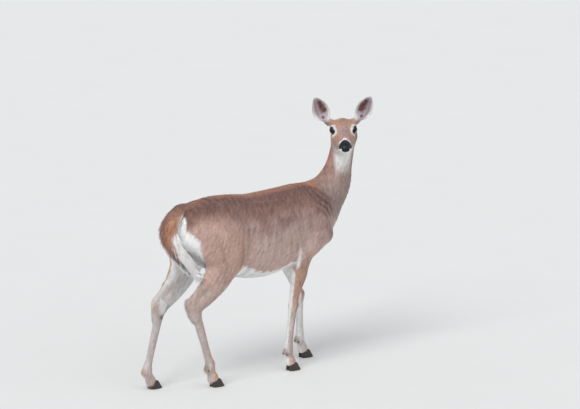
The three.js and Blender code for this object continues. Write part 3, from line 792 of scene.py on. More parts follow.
def body_relief(P, hold):
    """How far the skin stands out over the bones and muscles of the body."""
    x, y, z = P.T
    a = np.abs(x)
    crease, blade = flank_crease(z), y + 0.42 * (z - 690) + 352
    # the groove that parts the thigh from the flank, and the fold that runs from it to the stifle
    lift = -5.0 * hill(y, crease, 14) * hill(z, 610, 95) * ease(a, 60, 110)
    lift += 2.6 * hill(y, crease + 38, 26) * hill(z, 620, 95) * ease(a, 60, 110)
    lift += 2.0 * hill(y, crease - 34, 26) * hill(z, 590, 80) * ease(a, 60, 110)
    # hamstring groove
    lift -= 2.4 * hill(y - 236 - 0.28 * (z - 600), 0, 9) * hill(z, 610, 66) * ease(a, 60, 105)
    # the shoulder blade and the upper arm behind it
    lift += 2.6 * hill(blade, 0, 20) * hill(z, 700, 70) * ease(a, 40, 80)
    lift -= 2.6 * hill(blade, 62, 20) * hill(z, 660, 90) * ease(a, 40, 80)
    lift -= 3.4 * hill(y + 196 - 0.25 * (z - 560), 0, 13) * hill(z, 560, 60) * ease(a, 70, 110)
    # ribs, only just to be seen
    rib = np.sin((y + 0.35 * (z - 600)) / 44 * 2 * math.pi)
    lift += 0.55 * rib * hill(y, 0, 130) * hill(z, 600, 90) * ease(a, 90, 130)
    lift += 1.0 * neck_folds(P) * np.sin(fold_turn(P))
    # hip bone and loin
    lift += 3.0 * hill(y, 176, 22) * hill(z, 770, 20) * ease(a, 50, 75)
    lift -= 2.0 * hill(y, 110, 40) * hill(z, 752, 26) * ease(a, 60, 95)
    for name, j in LEGS.items():
        leg_relief(lift, P, name, j, hold[name])
    return lift * np.clip(hold["trunk"] + hold["neck"] + sum(hold[name] for name in LEGS), 0, 1)


# ---------------------------------------------------------------- colours and markings

WHITE = rgb(244, 242, 240)
GREY_WHITE = rgb(208, 202, 201)
FLANK = rgb(184, 155, 147)
FLANK_LOW = rgb(198, 167, 157)
UPPER = rgb(136, 102, 94)
CHARCOAL = rgb(92, 74, 72)
RUST = rgb(176, 120, 97)
THIGH = rgb(190, 153, 140)
TAWNY = rgb(190, 136, 108)
FOREARM = rgb(182, 145, 128)
CANNON = rgb(190, 166, 157)
NECK_GREY = rgb(148, 130, 125)
FACE = rgb(178, 138, 122)
EYE_RING = rgb(228, 222, 222)
BRIDGE = rgb(148, 137, 141)
BLACK = rgb(34, 29, 29)
DARK = rgb(74, 56, 50)
TAIL_BROWN = rgb(146, 110, 98)
TAIL_ROOT = rgb(112, 84, 74)
TAIL_RUST = rgb(184, 128, 98)
EAR_BACK = rgb(158, 138, 128)
EAR_LINING = rgb(186, 172, 180)
EAR_SKIN = rgb(150, 112, 112)
EAR_BROWN = rgb(142, 104, 102)
EAR_DARK = rgb(84, 48, 42)
EAR_POCKET = rgb(92, 54, 50)
EYE_BROWN = rgb(16, 11, 9)
EYE_IRIS = rgb(30, 18, 12)
EYE_EDGE = rgb(8, 6, 6)
# the pupil's near black, tinted blue as a painted sheen of reflected light
EYE_PUPIL_SHEEN = rgb(14, 17, 30)
# the nose's black leather, tinted blue as a painted sheen of reflected light
NOSE_BLACK_SHEEN = rgb(20, 21, 30)
HORN_GREY = rgb(58, 50, 46)
FLOOR_GREY = rgb(232, 232, 230)


def lay(C, colour, amount):
    C += (colour - C) * np.clip(amount, 0, 1)[:, None]


def plain(colour, P):
    return np.tile(colour, (len(P), 1))


def hair_shade(C):
    """The hairs shade each other, so they are made a little paler."""
    return 1.45 * C / (1 + 0.45 * C)


def rump_white(z):
    """How far to each side of the tail the white of the rump reaches at each height."""
    return np.interp(z, [440, 500, 560, 620, 680, 725, 752, 764], [82, 77, 67, 57, 49, 42, 31, 12])


def white_elbow(P, j):
    """Below 1 on the long white patch behind an elbow."""
    return far(P, np.array(j["elbow"]) + (0, 36, 14), (50, 11, 58))


class Grain:
    """The uneven colour of the coat: blotches of several sizes, strokes and dashes along the hair."""

    STROKE = np.array([[1, 0, 0], [0, 1, 0.12], [0, 0.25, 0.28]])
    DASH = np.array([[0.6, 0, 0], [0, 1, 0.05], [0, 0.5, 0.25]])

    def __init__(self, P):
        self.wide, self.fine, self.specks = ripple(P, 46, 3), ripple(P, 15, 5), ripple(P, 8, 21)
        self.strokes, self.dashes = ripple(P @ self.STROKE, 16, 8), ripple(P @ self.DASH, 8, 18)


def paint_trunk(C, P, n, hold, grain):
    x, y, z = P.T
    a = np.abs(x)
    wide, fine, strokes = grain.wide, grain.fine, grain.strokes
    top, bottom = trunk_line(y, 1), trunk_line(y, 2)
    v = (z - bottom) / (top - bottom)
    lay(C, FLANK_LOW, fade(v + 0.06 * wide, 0.12, 0.5))
    lay(C, UPPER, ease(v + 0.05 * wide, 0.5, 0.86))
    saddle = hill(v, 0.70, 0.24) * ease(y, -380, -300) * fade(y, 150, 230)
    lay(C, CHARCOAL, saddle * (0.20 * ease(wide, -0.7, 0.7) + 0.22 * ease(strokes + 0.5 * wide, 0.0, 1.1)))
    back = hill(v, 0.9, 0.16) * ease(y, -400, -320)
    lay(C, CHARCOAL, back * (0.2 + 0.28 * ease(strokes + 0.6 * wide, 0.0, 1.3)))
    lay(C, TAWNY, 0.25 * hill(v, 0.86, 0.16) * ease(-grain.dashes, 0.1, 0.8))
    shoulder = hill(y + 0.5 * (z - 700), -345, 46) * hill(z, 710, 78) * ease(a, 20, 50)
    lay(C, UPPER, 0.5 * hill(y, -300, 95) * hill(z, 665, 85) * ease(a, 20, 50))
    lay(C, CHARCOAL, 0.6 * shoulder * ease(0.6 * wide + strokes, -0.6, 0.8))
    # painted shade in the troughs of the skin folds where the neck turns back on the shoulder
    lay(C, CHARCOAL, 0.36 * neck_folds(P) * ease(-np.sin(fold_turn(P)) + 0.7 * wide, 0.0, 1.2))
    # painted shade on skin that faces up, to tone down the light from above; the coat is also darker along
    # the back
    C *= (1 - 0.22 * ease(n[:, 2], 0.3, 0.9))[:, None]
    # thighs
    thighs, out = hold["hind_right"] + hold["hind_left"], np.sign(x) * n[:, 0]
    lay(C, THIGH, 0.8 * thighs * fade(v, 0.62, 0.9))
    stifle = hill(y, 158, 46) * hill(z, 600, 70) * ease(out, 0.1, 0.6) * ease(fine, -0.8, 0.6)
    lay(C, TAWNY, 0.5 * stifle * (z > 440))
    # painted shade in the groove between the thigh and the flank
    lay(C, CHARCOAL, 0.42 * hill(y, flank_crease(z) - 3, 13) * hill(z, 620, 95) * ease(a, 60, 110))
    # the belly
    hem = bottom + 40 + 16 * ease(y, -60, 140) + 3.5 * fine
    lay(C, WHITE, fade(z, hem - 4, hem + 4) * ease(hold["trunk"], 0.2, 0.5) * ease(y, -262, -225))
    lay(C, WHITE, fade(a, 18, 62) * fade(v, 0.1, 0.3) * ease(y, -330, -200) * (y < 330))
    # neck and chest
    lay(C, NECK_GREY, 0.9 * hold["neck"])
    lay(C, GREY_WHITE, 0.2 * hill(y, -450, 60) * ease(-n[:, 1], 0.2, 0.9) * fade(z, 640, 900) * (z > 470))
    behind = n @ unit(np.array([0.35, 0.75, 0.5]))
    lay(C, UPPER, 0.5 * hold["neck"] * ease(behind, 0.0, 0.6))
    # the rusty line along her back and up the nape
    spine = ease(v, 0.955, 0.992) * ease(n[:, 2], 0.35, 0.8) * hold["trunk"] ** 0.5
    lay(C, RUST, 0.85 * spine * (y < 330) * ease(y, -400, -330))
    nape = hold["neck"] * ease(behind, 0.55, 0.9) * ease(z, 720, 800)
    lay(C, RUST, 0.6 * nape * ease(strokes + 1.2 * fine, -1.3, 0.4))
    lay(C, TAWNY, 0.15 * hold["neck"] * ease(-n[:, 0] * 0.8 + n[:, 1] * 0.6, 0.2, 0.9) * ease(z, 700, 850))


def paint_hind(C, P, n, j, leg, inner, cannon, grain):
    z, hock, s = P[:, 2], j["hock"], math.copysign(1, j["fetlock"][0])
    inside = leg * fade(z, 640, 720) * ease(inner, 0.0, 0.45) * ease(z, hock[2] - 10, hock[2] + 40)
    lay(C, WHITE, inside * (0.55 + 0.45 * ease(z + 12 * grain.wide, 480, 570)))
    front = ease(-n[:, 1] * 0.8 - n[:, 2] * 0.45 + 0.35 * inner, 0.3, 0.5)
    lay(C, WHITE, leg * front * fade(z, 500, 540) * ease(z, hock[2] - 30, hock[2] + 30))
    lay(C, GREY_WHITE, 0.5 * cannon * ease(inner, 0.1, 0.6))
    # the tuft of hair inside the hock, over its scent gland, and the dark hair below it
    tuft = far(P, (hock[0] - s * 18, hock[1] + 6, hock[2] + 8), (26, 20, 30))
    lay(C, WHITE, leg * fade(tuft, 0.8, 1.1) * ease(inner, 0.1, 0.5))
    dark = far(P, (hock[0] - s * 18, hock[1] + 8, hock[2] - 36), (26, 17, 15))
    lay(C, DARK, 0.85 * leg * fade(dark, 0.7, 1.15) * ease(inner, 0.1, 0.5))


def paint_fore(C, P, n, j, leg, inner, cannon, grain):
    back = ease(n[:, 1] + 0.35 * inner, 0.42, 0.62)
    lay(C, WHITE, leg * back * fade(P[:, 2], 500, 545))
    lay(C, WHITE, 0.6 * cannon * ease(inner, -0.1, 0.5))
    lay(C, WHITE, fade(white_elbow(P, j) + 0.06 * grain.fine, 0.75, 1.1))


def paint_leg(C, P, n, name, j, leg, grain):
    z, hind = P[:, 2], "hind" in name
    aside = np.abs(P[:, 0] - j["toe"][0])
    inner = -math.copysign(1, j["fetlock"][0]) * n[:, 0]
    knee = j["hock" if hind else "knee"]
    lay(C, CANNON if hind else FOREARM, leg * (fade(z, 410, 500) if hind else fade(z, 470, 560)))
    cannon = leg * fade(z, knee[2] - 60, knee[2] + 10)
    lay(C, CANNON, cannon)
    lay(C, GREY_WHITE, 0.55 * cannon * ease(n[:, 1], -0.2, 0.7))
    (paint_hind if hind else paint_fore)(C, P, n, j, leg, inner, cannon, grain)
    foot = leg * fade(z, 60, 100)
    claws = between(j["fetlock"], j["toe"], 0.2, (0, 24, 4))
    lay(C, UPPER, 0.6 * leg * fade(far(P, claws, (1.2, 1, 1)), 8, 20))
    lay(C, TAWNY, 0.35 * foot * ease(aside, 4, 14))
    lay(C, WHITE, 0.7 * foot * fade(aside, 3, 9) * ease(-n[:, 1], 0.1, 0.6))


def paint_rump(C, P, n, along, hold, grain):
    """White on either side of the tail and down between the thighs; the tail brown, white at its edges."""
    x, y, z = P.T
    tail = ease(hold["tail"], 0.4, 0.8)
    reach = rump_white(z) + 0.8 * grain.fine
    rear = fade(np.abs(x), reach - 2.5, reach + 2.5) * ease(n[:, 1], -0.05, 0.15) * (y > 215)
    lay(C, WHITE, rear * fade(z, 752, 760) * (1 - tail) * ease(z, 430, 470))
    off = x - tail_middle(z)
    wedge = np.interp(along, [0, 0.25, 0.4, 0.55, 0.72, 0.85, 1], [90, 60, 36, 29, 16, 6, 0])
    brown = fade(np.abs(off) + 2 * grain.fine, wedge - 4, wedge + 4)
    brown = np.maximum(brown * ease(n[:, 1] + 0.6 * n[:, 2], -0.35, 0.0), fade(along, 0.2, 0.3))
    light, deep = plain(WHITE, P), plain(TAIL_BROWN, P)
    lay(deep, TAIL_ROOT, 0.65 * fade(along, 0.22, 0.42))
    lay(deep, TAIL_RUST, 0.8 * hill(along, 0.46, 0.18) * ease(-off, -4, 18))
    lay(deep, DARK, ease(along + 0.04 * grain.fine, 0.66, 0.80))
    lay(light, GREY_WHITE, 0.35 * ease(grain.strokes, 0, 1))
    light += (deep - light) * brown[:, None]
    C += (light - C) * tail[:, None]


def paint_eyes(C, h, t):
    """White rings, their streaks toward the mouth, and dark rims."""
    x, a, y = h[:, 0], np.abs(h[:, 0]), h[:, 1]
    for s in (-1, 1):
        u, w, d, rim = eye_plan(h, s)
        near = (d > -4).astype(float) * (np.sign(x) == s)
        ring = fade(rim - 0.35 * ease(w + u, 0, 14), 1.7, 2.25) * near
        lay(C, EYE_RING, ring * (0.3 + 0.7 * ease(w + 0.55 * u, -6, 4)))
        along = np.clip(((a - 35) * 17 - (t - 3) * 18) / (17**2 + 18**2), 0, 1)
        streak = np.hypot(a - 35 - 17 * along, t - 3 + 18 * along)
        lay(C, EYE_RING, 0.85 * fade(streak, 1.0, 4.4) * near * ease(y, 96, 108))
        shade = np.hypot((u + 3) / 8, (w + 17.5) / 3.0)
        lay(C, UPPER, 0.6 * fade(shade, 0.6, 1.3) * near)
        pocket = np.hypot((u - 18) / 5, (w + 5) / 3.4)
        lay(C, DARK, 0.8 * fade(pocket, 0.6, 1.2) * near)
        lay(C, BLACK, fade(rim, 1.3, 1.44) * near)


def paint_head(h, n):
    x, y, z = h.T
    a, t = np.abs(x), face_height(h)
    C = plain(FACE, h)
    lay(C, NECK_GREY, 0.7 * fade(z, -40, 0) * ease(y, 90, 140))
    lay(C, BRIDGE, 0.8 * hill(a, 0, 13) * hill(y, 104, 52) * ease(n[:, 2], 0.0, 0.6))
    lay(C, TAWNY, 0.6 * hill(a, 26, 18) * hill(y, 190, 44) * ease(n[:, 2], 0.2, 0.8))
    lay(C, RUST, 0.35 * hill(y, 78, 26) * hill(z, -2, 16) * ease(a, 14, 24))
    lay(C, CHARCOAL, 0.28 * hill(a, 0, 12) * hill(y, 190, 40) * ease(n[:, 2], 0.2, 0.8))
    lay(C, UPPER, 0.4 * ease(y, 205, 240))
    lay(C, GREY_WHITE, 0.5 * fade(z, -60, -30) * ease(y, 60, 110))
    paint_eyes(C, h, t)
    lay(C, DARK, 0.3 * (hill(y, 62, 15) * hill(z, -14, 13) * ease(a, 15, 24)))
    # the muzzle's white band, the chin, and the lips
    lay(C, WHITE, fade(pad_edge(h, 14), 5.0, 8.5))
    lay(C, WHITE, fade(z - lip_line(h), -6, 0) * fade(y, 84, 110))
    lay(C, WHITE, fade(t, -68, -63) * fade(y, 34, 52))
    lay(C, WHITE, fade(lip_patch(h), 0.8, 1.2))
    lay(C, BLACK, fade(pad_edge(h), -0.5, 1.0) * ease(lip_patch(h), 0.8, 1.05))
    lay(C, DARK, 0.5 * hill(z, lip_line(h), 1.0) * fade(y, 60, 78) * ease(y, 20, 34))
    return C


def throat_white(h, n):
    x, y, z = h.T
    patch = fade(z, -78, -52) * fade(np.abs(x), 24, 52) * ease(-n[:, 1] - n[:, 2], -0.1, 0.5)
    return 0.97 * patch * ease(z, -215, -120) * ease(y, 80, 130) * fade(y, 215, 250)


def paint(P, n, parts, hold):
    """The coat's colour at each point of the skin, with painted shade in the neck's folds, in the flank's
    groove and on skin that faces up.
    """
    grain, C = Grain(P), plain(FLANK, P)
    paint_trunk(C, P, n, hold, grain)
    for name, j in LEGS.items():
        paint_leg(C, P, n, name, j, hold[name], grain)
    paint_rump(C, P, n, parts["tail"][1], hold, grain)
    h, turned = to_head(P), n @ HEAD_TURNED
    head = ease(hold["head"], 0.2, 0.8) * fade(h[:, 1], 228, 268)
    C += (paint_head(h, turned) - C) * head[:, None]
    lay(C, WHITE, throat_white(h, turned))
    C *= (1 + 0.06 * grain.fine + 0.06 * grain.wide + 0.13 * grain.specks + 0.08 * grain.dashes)[:, None]
    return hair_shade(C)


# ---------------------------------------------------------------- the lie of the coat


def lie_of(P, n, parts, hold):
    """The direction in which the hair lies at each point, along the skin."""
    x, y, z = P.T
    D = np.zeros((len(P), 3))
    down = np.array([0, 0, -1.0])
    for name, (_, share, flow) in parts.items():
        way = flow.copy()
        if name == "trunk":
            way = np.array([0, 1.0, 0]) + down * (0.15 + 0.5 * ease(np.abs(n[:, 0]), 0.3, 1))[:, None]
            way += down * (1.4 * fade(y, -430, -330))[:, None]
        if name in LEGS:
            high = ease(z, 480, 620)[:, None]
            way = unit(way) * (1 - 0.6 * high) + np.array([0, 0.75, -0.25]) * high
            way[:, 1] += 0.12
        if name == "neck":
            way = unit(way) + down * 0.25
        if name == "head":
            h = to_head(P)
            local = np.stack([h[:, 0] * 0.006, np.ones(len(P)), -0.12 - 0.1 * ease(-h[:, 2], 0, 60)], 1)
            way = local @ HEAD_TURNED.T
        if name == "tail":
            edge = np.clip((x - tail_middle(z)) / 40, -1, 1) * ease(share, 0.2, 0.5)
            way = unit(way) + np.array([1.0, 0, 0]) * (0.5 * edge)[:, None]
        D += way * hold[name][:, None]
    D -= n * (D * n).sum(1, keepdims=True)
    return unit(D)


# ---------------------------------------------------------------- how the coat grows


def rooted(P, n, parts, hold):
    """For each point: the tufts' length, width and rise, and how many there are to a square centimetre."""
    x, y, z = P.T
    back = to_head(P)[:, 1]
    crown = ease(back, 60, 240)
    legs = sum(hold[name] for name in LEGS)
    low = legs * fade(z, 400, 560)
    trunk = hold["trunk"] + hold["neck"] + legs - low
    tail, head = hold["tail"], hold["head"]
    growth = np.stack([
        trunk * 20 + low * 11 + tail * 56 + head * (6.5 + 7.5 * crown),
        trunk * 2.3 + low * 1.5 + tail * 3.0 + head * (0.85 + 0.5 * crown),
        trunk * 2.1 + low * 2.0 + tail * 12 + head * (1.5 + 0.7 * crown),
        trunk * 14 + low * 21 + tail * 16 + head * (62 - 20 * ease(back, 120, 250)),
    ], 1)
    reach = rump_white(z)
    rear = fade(np.abs(x), reach - 6, reach + 2) * ease(n[:, 1], -0.05, 0.15) * (y > 215) * (1 - tail)
    changes = [
        (hold["neck"] * ease(z, 780, 900), (-6, -0.8, 0, 12)),
        (tail * fade(parts["tail"][1], 0.15, 0.38), (-26, 0, -9, 0)),
        (hold["trunk"] * fade(z - trunk_line(y, 2), 10, 60) * fade(y, 190, 260), (9, 0, 2, 0)),
        (rear, (12, 0, 3, 0)),
        (rear * hill(z, 590, 80), (0, 0, 4, 0)),
    ]
    for name, j in LEGS.items():
        if "hind" in name:
            hock, s = j["hock"], math.copysign(1, j["fetlock"][0])
            tuft = far(P, (hock[0] - s * 18, hock[1] + 6, hock[2] + 6), (26, 22, 28))
            changes.append((hold[name] * fade(tuft, 0.6, 1.2) * ease(-s * n[:, 0], 0.0, 0.5), (16, 1, 5, 0)))
        else:
            changes.append((hold[name] * fade(white_elbow(P, j), 0.6, 1.1), (5, 0, 1.5, 0)))
        claws = between(j["fetlock"], j["toe"], 0.16, (0, 22, 4))
        changes.append((hold[name] * fade(far(P, claws, (1.3, 1, 1)), 12, 26), (8, 0, 3, 0)))
    for where, amounts in changes:
        growth += where[:, None] * amounts
    growth[:, 0] -= 3.5 * low * fade(z, 46, 75)
    growth[:, 2] *= 1 - 0.6 * ease(-n[:, 2], 0.25, 0.8) * (hold["trunk"] + legs)
    return growth


# ---------------------------------------------------------------- building the skin

VOXEL = 0.0057  # the first mesh's grid, in metres
skin_mesh = rough_skin(VOXEL)
P = points_of(skin_mesh)
depth = coat_depth(P, nearness(survey(P)[1]))
mend(skin_mesh, settle(skin_mesh, P, depth), depth)
relax(skin_mesh, 0.5)
for wanted in ((on_face, on_features, on_eyelids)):
    refine(skin_mesh, wanted)
relax(skin_mesh, 0.4)
P = points_of(skin_mesh)
P = settle(skin_mesh, P, coat_depth(P, nearness(survey(P)[1])))

n = normals_of(skin_mesh)
_, parts = survey(P)
hold = nearness(parts)
P = P + n * body_relief(P, hold)[:, None]
face = on_face(P)
h = to_head(P[face])
h = h + (n[face] @ HEAD_TURNED) * face_relief(h)[:, None]
P[face] = from_head(shape_muzzle(shape_eyes(h)))
P = np.clip(P, *OUTLINE)
put_points(skin_mesh, P)
n = normals_of(skin_mesh)

# ---------------------------------------------------------------- ears

# share of the length, half width, bulge of the back, bulge of the front, lean of the middle line outward
EAR_RINGS = [
    (-0.14, 10, 10, 10, 0),
    (0.04, 15, 13, 11, 0),
    (0.16, 27, 16, 0, 6),
    (0.3, 36, 17.5, -11, 7),
    (0.46, EAR_WIDTH / 2 - 3, 17, -13, 5),
    (0.62, 33.5, 14.5, -11, 2),
    (0.78, 23.5, 10.5, -7.5, 1),
    (0.91, 11, 6.5, -4, 0),
    (0.975, 2, 2.5, -0.5, 0),
]
EAR_STEPS, EAR_SPOKES = 7, 22


def ear_skin(s):
    """A cupped leaf: points, faces, hair direction, and each point's share, place across and side."""
    axis = unit(np.array([s * 0.455 + 0.048, -0.08, 0.87]))
    across = unit(np.cross(axis, (s * 0.16, -1, -0.1))) * s
    facing = unit(np.cross(axis, across))
    facing = facing * (1 if facing[1] < 0 else -1)
    k = np.arange(2 * EAR_SPOKES)
    back = k < EAR_SPOKES
    turn = np.where(back, k, 2 * EAR_SPOKES - k) / EAR_SPOKES * math.pi
    share, half, rear, front, lean = [column[:, None] for column in spline(EAR_RINGS, EAR_STEPS).T]
    inward = 1 - 0.10 * np.cos(turn * 6) * ease(share, 0.15, 0.4) * fade(share, 0.6, 0.9)
    depth = np.where(back, -rear * np.sin(turn), front * np.sin(turn) * inward)
    rim = 1.6 * (1 - np.sin(turn)) * ease(share, 0.1, 0.3) * np.where(back, -1, 1) * (np.sin(turn) > 0.01)
    place = np.cos(turn) + 0 * share
    p = EAR_ROOT * np.array([s, 1, 1]) + axis * (share * EAR_LENGTH)[..., None]
    p = p + across * (half * place + lean)[..., None]
    p = p + facing * (depth + rim)[..., None]
    fan = unit(axis + across * (0.55 * place)[..., None]).reshape(-1, 3)
    share = np.broadcast_to(share, place.shape).ravel()
    faces, back = strip(*place.shape)[:, ::s], np.tile(back, len(p))
    return from_head(p.reshape(-1, 3)), faces, fan @ HEAD_TURNED.T, share, place.ravel(), back


def paint_ear(share, place, back, P):
    fine, inner = ripple(P, 7, 9), (~back).astype(float)
    C = plain(EAR_BACK, P)
    lay(C, UPPER, 0.4 * back * hill(place, 0, 0.4))
    lay(C, EAR_LINING, inner)
    within = inner * ease(share, 0.12, 0.3) * fade(share, 0.82, 0.92)
    ridges = ease(np.sin(place * 13 + 2.2 * share + 0.9 * fine), 0.0, 0.9)
    ridges = ridges * ease(place, -0.3, 0.0) * fade(place, 0.66, 0.84)
    lay(C, EAR_SKIN, 0.55 * within * ridges)
    dark = hill(place + 0.12 * fine, -0.24 + 0.2 * (share - 0.5), 0.42) * ease(share, 0.22, 0.36)
    dark = dark * fade(share, 0.7, 0.86)
    streaks = ease(np.sin(place * 24 + 1.5 * fine), -0.5, 0.6)
    lay(C, EAR_BROWN, inner * ease(dark, 0.12, 0.7))
    lay(C, EAR_DARK, 0.9 * inner * ease(dark + 0.14 * fine, 0.45, 0.95) * (0.45 + 0.55 * streaks))
    lay(C, EAR_POCKET, inner * ease(hill(place, 0.12, 0.28) * hill(share, 0.17, 0.055), 0.3, 0.8))
    rim = np.maximum(ease(np.abs(place), 0.66, 0.8), ease(share, 0.84, 0.92))
    lay(C, WHITE, rim * np.where(back, 0.55, 1.0) * ease(share, 0.0, 0.2))
    lay(C, WHITE, hill(place, -0.8, 0.5) * hill(share, 0.06, 0.10))
    return hair_shade(C)


def ear_growth(share, place, back):
    """What `rooted` says, for an ear: shorter toward its edge, and none at the very tip."""
    edge = np.maximum(ease(np.abs(place), 0.72, 0.95), ease(share, 0.84, 0.94))
    inner = (~back).astype(float)
    growth = np.stack([
        6.0 + 1.5 * inner - 2.0 * edge,
        np.full(len(share), 1.0),
        1.6 + inner * (1.8 - 0.8 * edge),
        np.full(len(share), 46.0),
    ], 1)
    growth[share > 0.955, 3] = 0
    return growth


# ---------------------------------------------------------------- one skin, ears and all

# For each point of the skin: its place, normal, colour, lie of the hair and growth, and which part holds it.
fields = [P, n, paint(P, n, parts, hold), lie_of(P, n, parts, hold), rooted(P, n, parts, hold)]
holders = [*hold, "ears"]
holder = np.argmax(np.stack(list(hold.values()), 1), 1)
with editing(skin_mesh) as bm:
    for s in (-1, 1):
        at, faces, fan, share, place, back = ear_skin(s)
        leaf = mesh_from("leaf", at, faces)
        bm.from_mesh(leaf)
        normal = normals_of(leaf)
        fan = unit(fan - normal * (fan * normal).sum(1, keepdims=True))
        extra = [at, normal, paint_ear(share, place, back, at), fan, ear_growth(share, place, back)]
        fields = [np.vstack([f, e]) for f, e in zip(fields, extra)]
        holder = np.concatenate([holder, np.full(len(at), holders.index("ears"))])
        bpy.data.meshes.remove(leaf)
    fill_holes(bm)
    bmesh.ops.triangulate(bm, faces=[f for f in bm.faces if len(f.verts) > 4])
shade_smooth(skin_mesh)
skin_mesh.name = "skin"
P, n, colours, lies, growth = fields
set_colour(skin_mesh, colours)
lie_layer = skin_mesh.attributes.new("Lie", "FLOAT_VECTOR", "POINT")
lie_layer.data.foreach_set("vector", lies.astype(np.float32).ravel())
skin = new_piece("skin", skin_mesh, "coat", *FLESH, *EARS)

bpy.context.view_layer.objects.active = skin
skin.select_set(True)
bpy.ops.object.mode_set(mode="EDIT")
bpy.ops.mesh.select_all(action="SELECT")
bpy.ops.uv.smart_project(angle_limit=1.15, island_margin=0.002)
bpy.ops.object.mode_set(mode="OBJECT")
skin_mesh.uv_layers[0].name = "OFBake"

# ---------------------------------------------------------------- the coat


class Roots:
    """Where tufts grow: places spread evenly over the skin, with what the skin has there."""

    def __init__(self):
        skin_mesh.calc_loop_triangles()
        corner = read(skin_mesh.loop_triangles, "vertices", kind=np.int32)
        loop = read(skin_mesh.loop_triangles, "loops", kind=np.int32)
        uv = read(skin_mesh.uv_layers["OFBake"].data, "uv", 2)
        count = len(corner)
        a, b, c = (P[corner[:, i]] for i in range(3))
        area = np.linalg.norm(np.cross(b - a, c - a), axis=1) / 200  # in square centimetres
        wanted = area * growth[corner, 3].mean(1) * self.bare(P[corner].mean(1))
        many = np.floor(wanted + rng.random(count)).astype(int)
        pick = np.repeat(np.arange(count), many)
        f, g = rng.random(len(pick)), rng.random(len(pick))
        over = f + g > 1
        f[over], g[over] = 1 - f[over], 1 - g[over]
        share = np.stack([1 - f - g, f, g], 1)[..., None]
        corner, loop = corner[pick], loop[pick]
        self.at, normal, self.colour, lie, self.growth = ((field[corner] * share).sum(1) for field in fields)
        self.normal = unit(normal)
        self.lie = unit(lie - self.normal * (lie * self.normal).sum(1, keepdims=True))
        self.uv = (uv[loop] * share).sum(1)
        self.holder = holder[corner[:, 0]]
        # a tuft has the colour of the place that it covers, so that the edges of the markings are clean
        furred = ~self.held_by("ears")
        over = (self.at + self.lie * self.growth[:, :1] * 0.5)[furred]
        _, parts = survey(over)
        self.colour[furred] = paint(over, self.normal[furred], parts, nearness(parts))

    def bare(self, at):
        """0 where no hair grows: the eyes' openings, the nose pad and the nostrils, the soles."""
        h = to_head(at)
        free = np.maximum(ease(pad_edge(h), 0.0, 2.0), fade(lip_patch(h), 0.7, 0.95) * (h[:, 1] < 60))
        for s in (-1, 1):
            _, _, d, rim = eye_plan(h, s)
            free *= 1 - fade(rim, 1.26, 1.36) * (d > -4) * (np.sign(h[:, 0]) == s) * on_face(at)
        # the hair ends at the top of the hooves, which slopes down toward the heel
        for j in LEGS.values():
            aside, ahead = at[:, 0] - j["toe"][0], at[:, 1] - j["toe"][1]
            foot = (np.hypot(aside, ahead) < 95) & (at[:, 2] < 120)
            free *= np.where(foot, ease(at[:, 2] - HOOF_TOP + 0.3 * ahead, -5, -1), 1)
        return free

    def held_by(self, *names):
        return np.isin(self.holder, [holders.index(name) for name in names])

    def some(self, mask):
        out = object.__new__(Roots)
        for key, value in self.__dict__.items():
            setattr(out, key, value[mask])
        return out


# How far along a tuft each of its rings is, and how wide it is there. A short one starts with its ring.
TUFT_RINGS = {"short": [(0, 1.0)], "flat": [(0.38, 1.0)], "long": [(0.3, 1.0), (0.68, 0.75)]}
PATCH = 0.0015  # half the size of a tuft's patch in the map
SPLAY = 0.16  # how far tufts lie to either side of the hair's own direction


def tuft_faces(rings, at_point):
    """The faces of one tuft, and which of them are underneath."""
    first = 1 if at_point else 0
    tip = first + 3 * rings
    faces = [] if at_point else [(0, 1, 2)]
    under = [False] * len(faces)
    for i in range(3):
        j = (i + 1) % 3
        ring = [(first + 3 * r + i, first + 3 * r + j) for r in range(rings)]
        if at_point:
            faces.append((0, *ring[0]))
        for (a, b), (c, d) in zip(ring, ring[1:]):
            faces += [(a, c, b), (b, c, d)]
        faces.append((ring[-1][0], tip, ring[-1][1]))
        under += [i == 0] * (len(faces) - len(under))
    return np.array(faces)[:, ::-1], np.array(under)


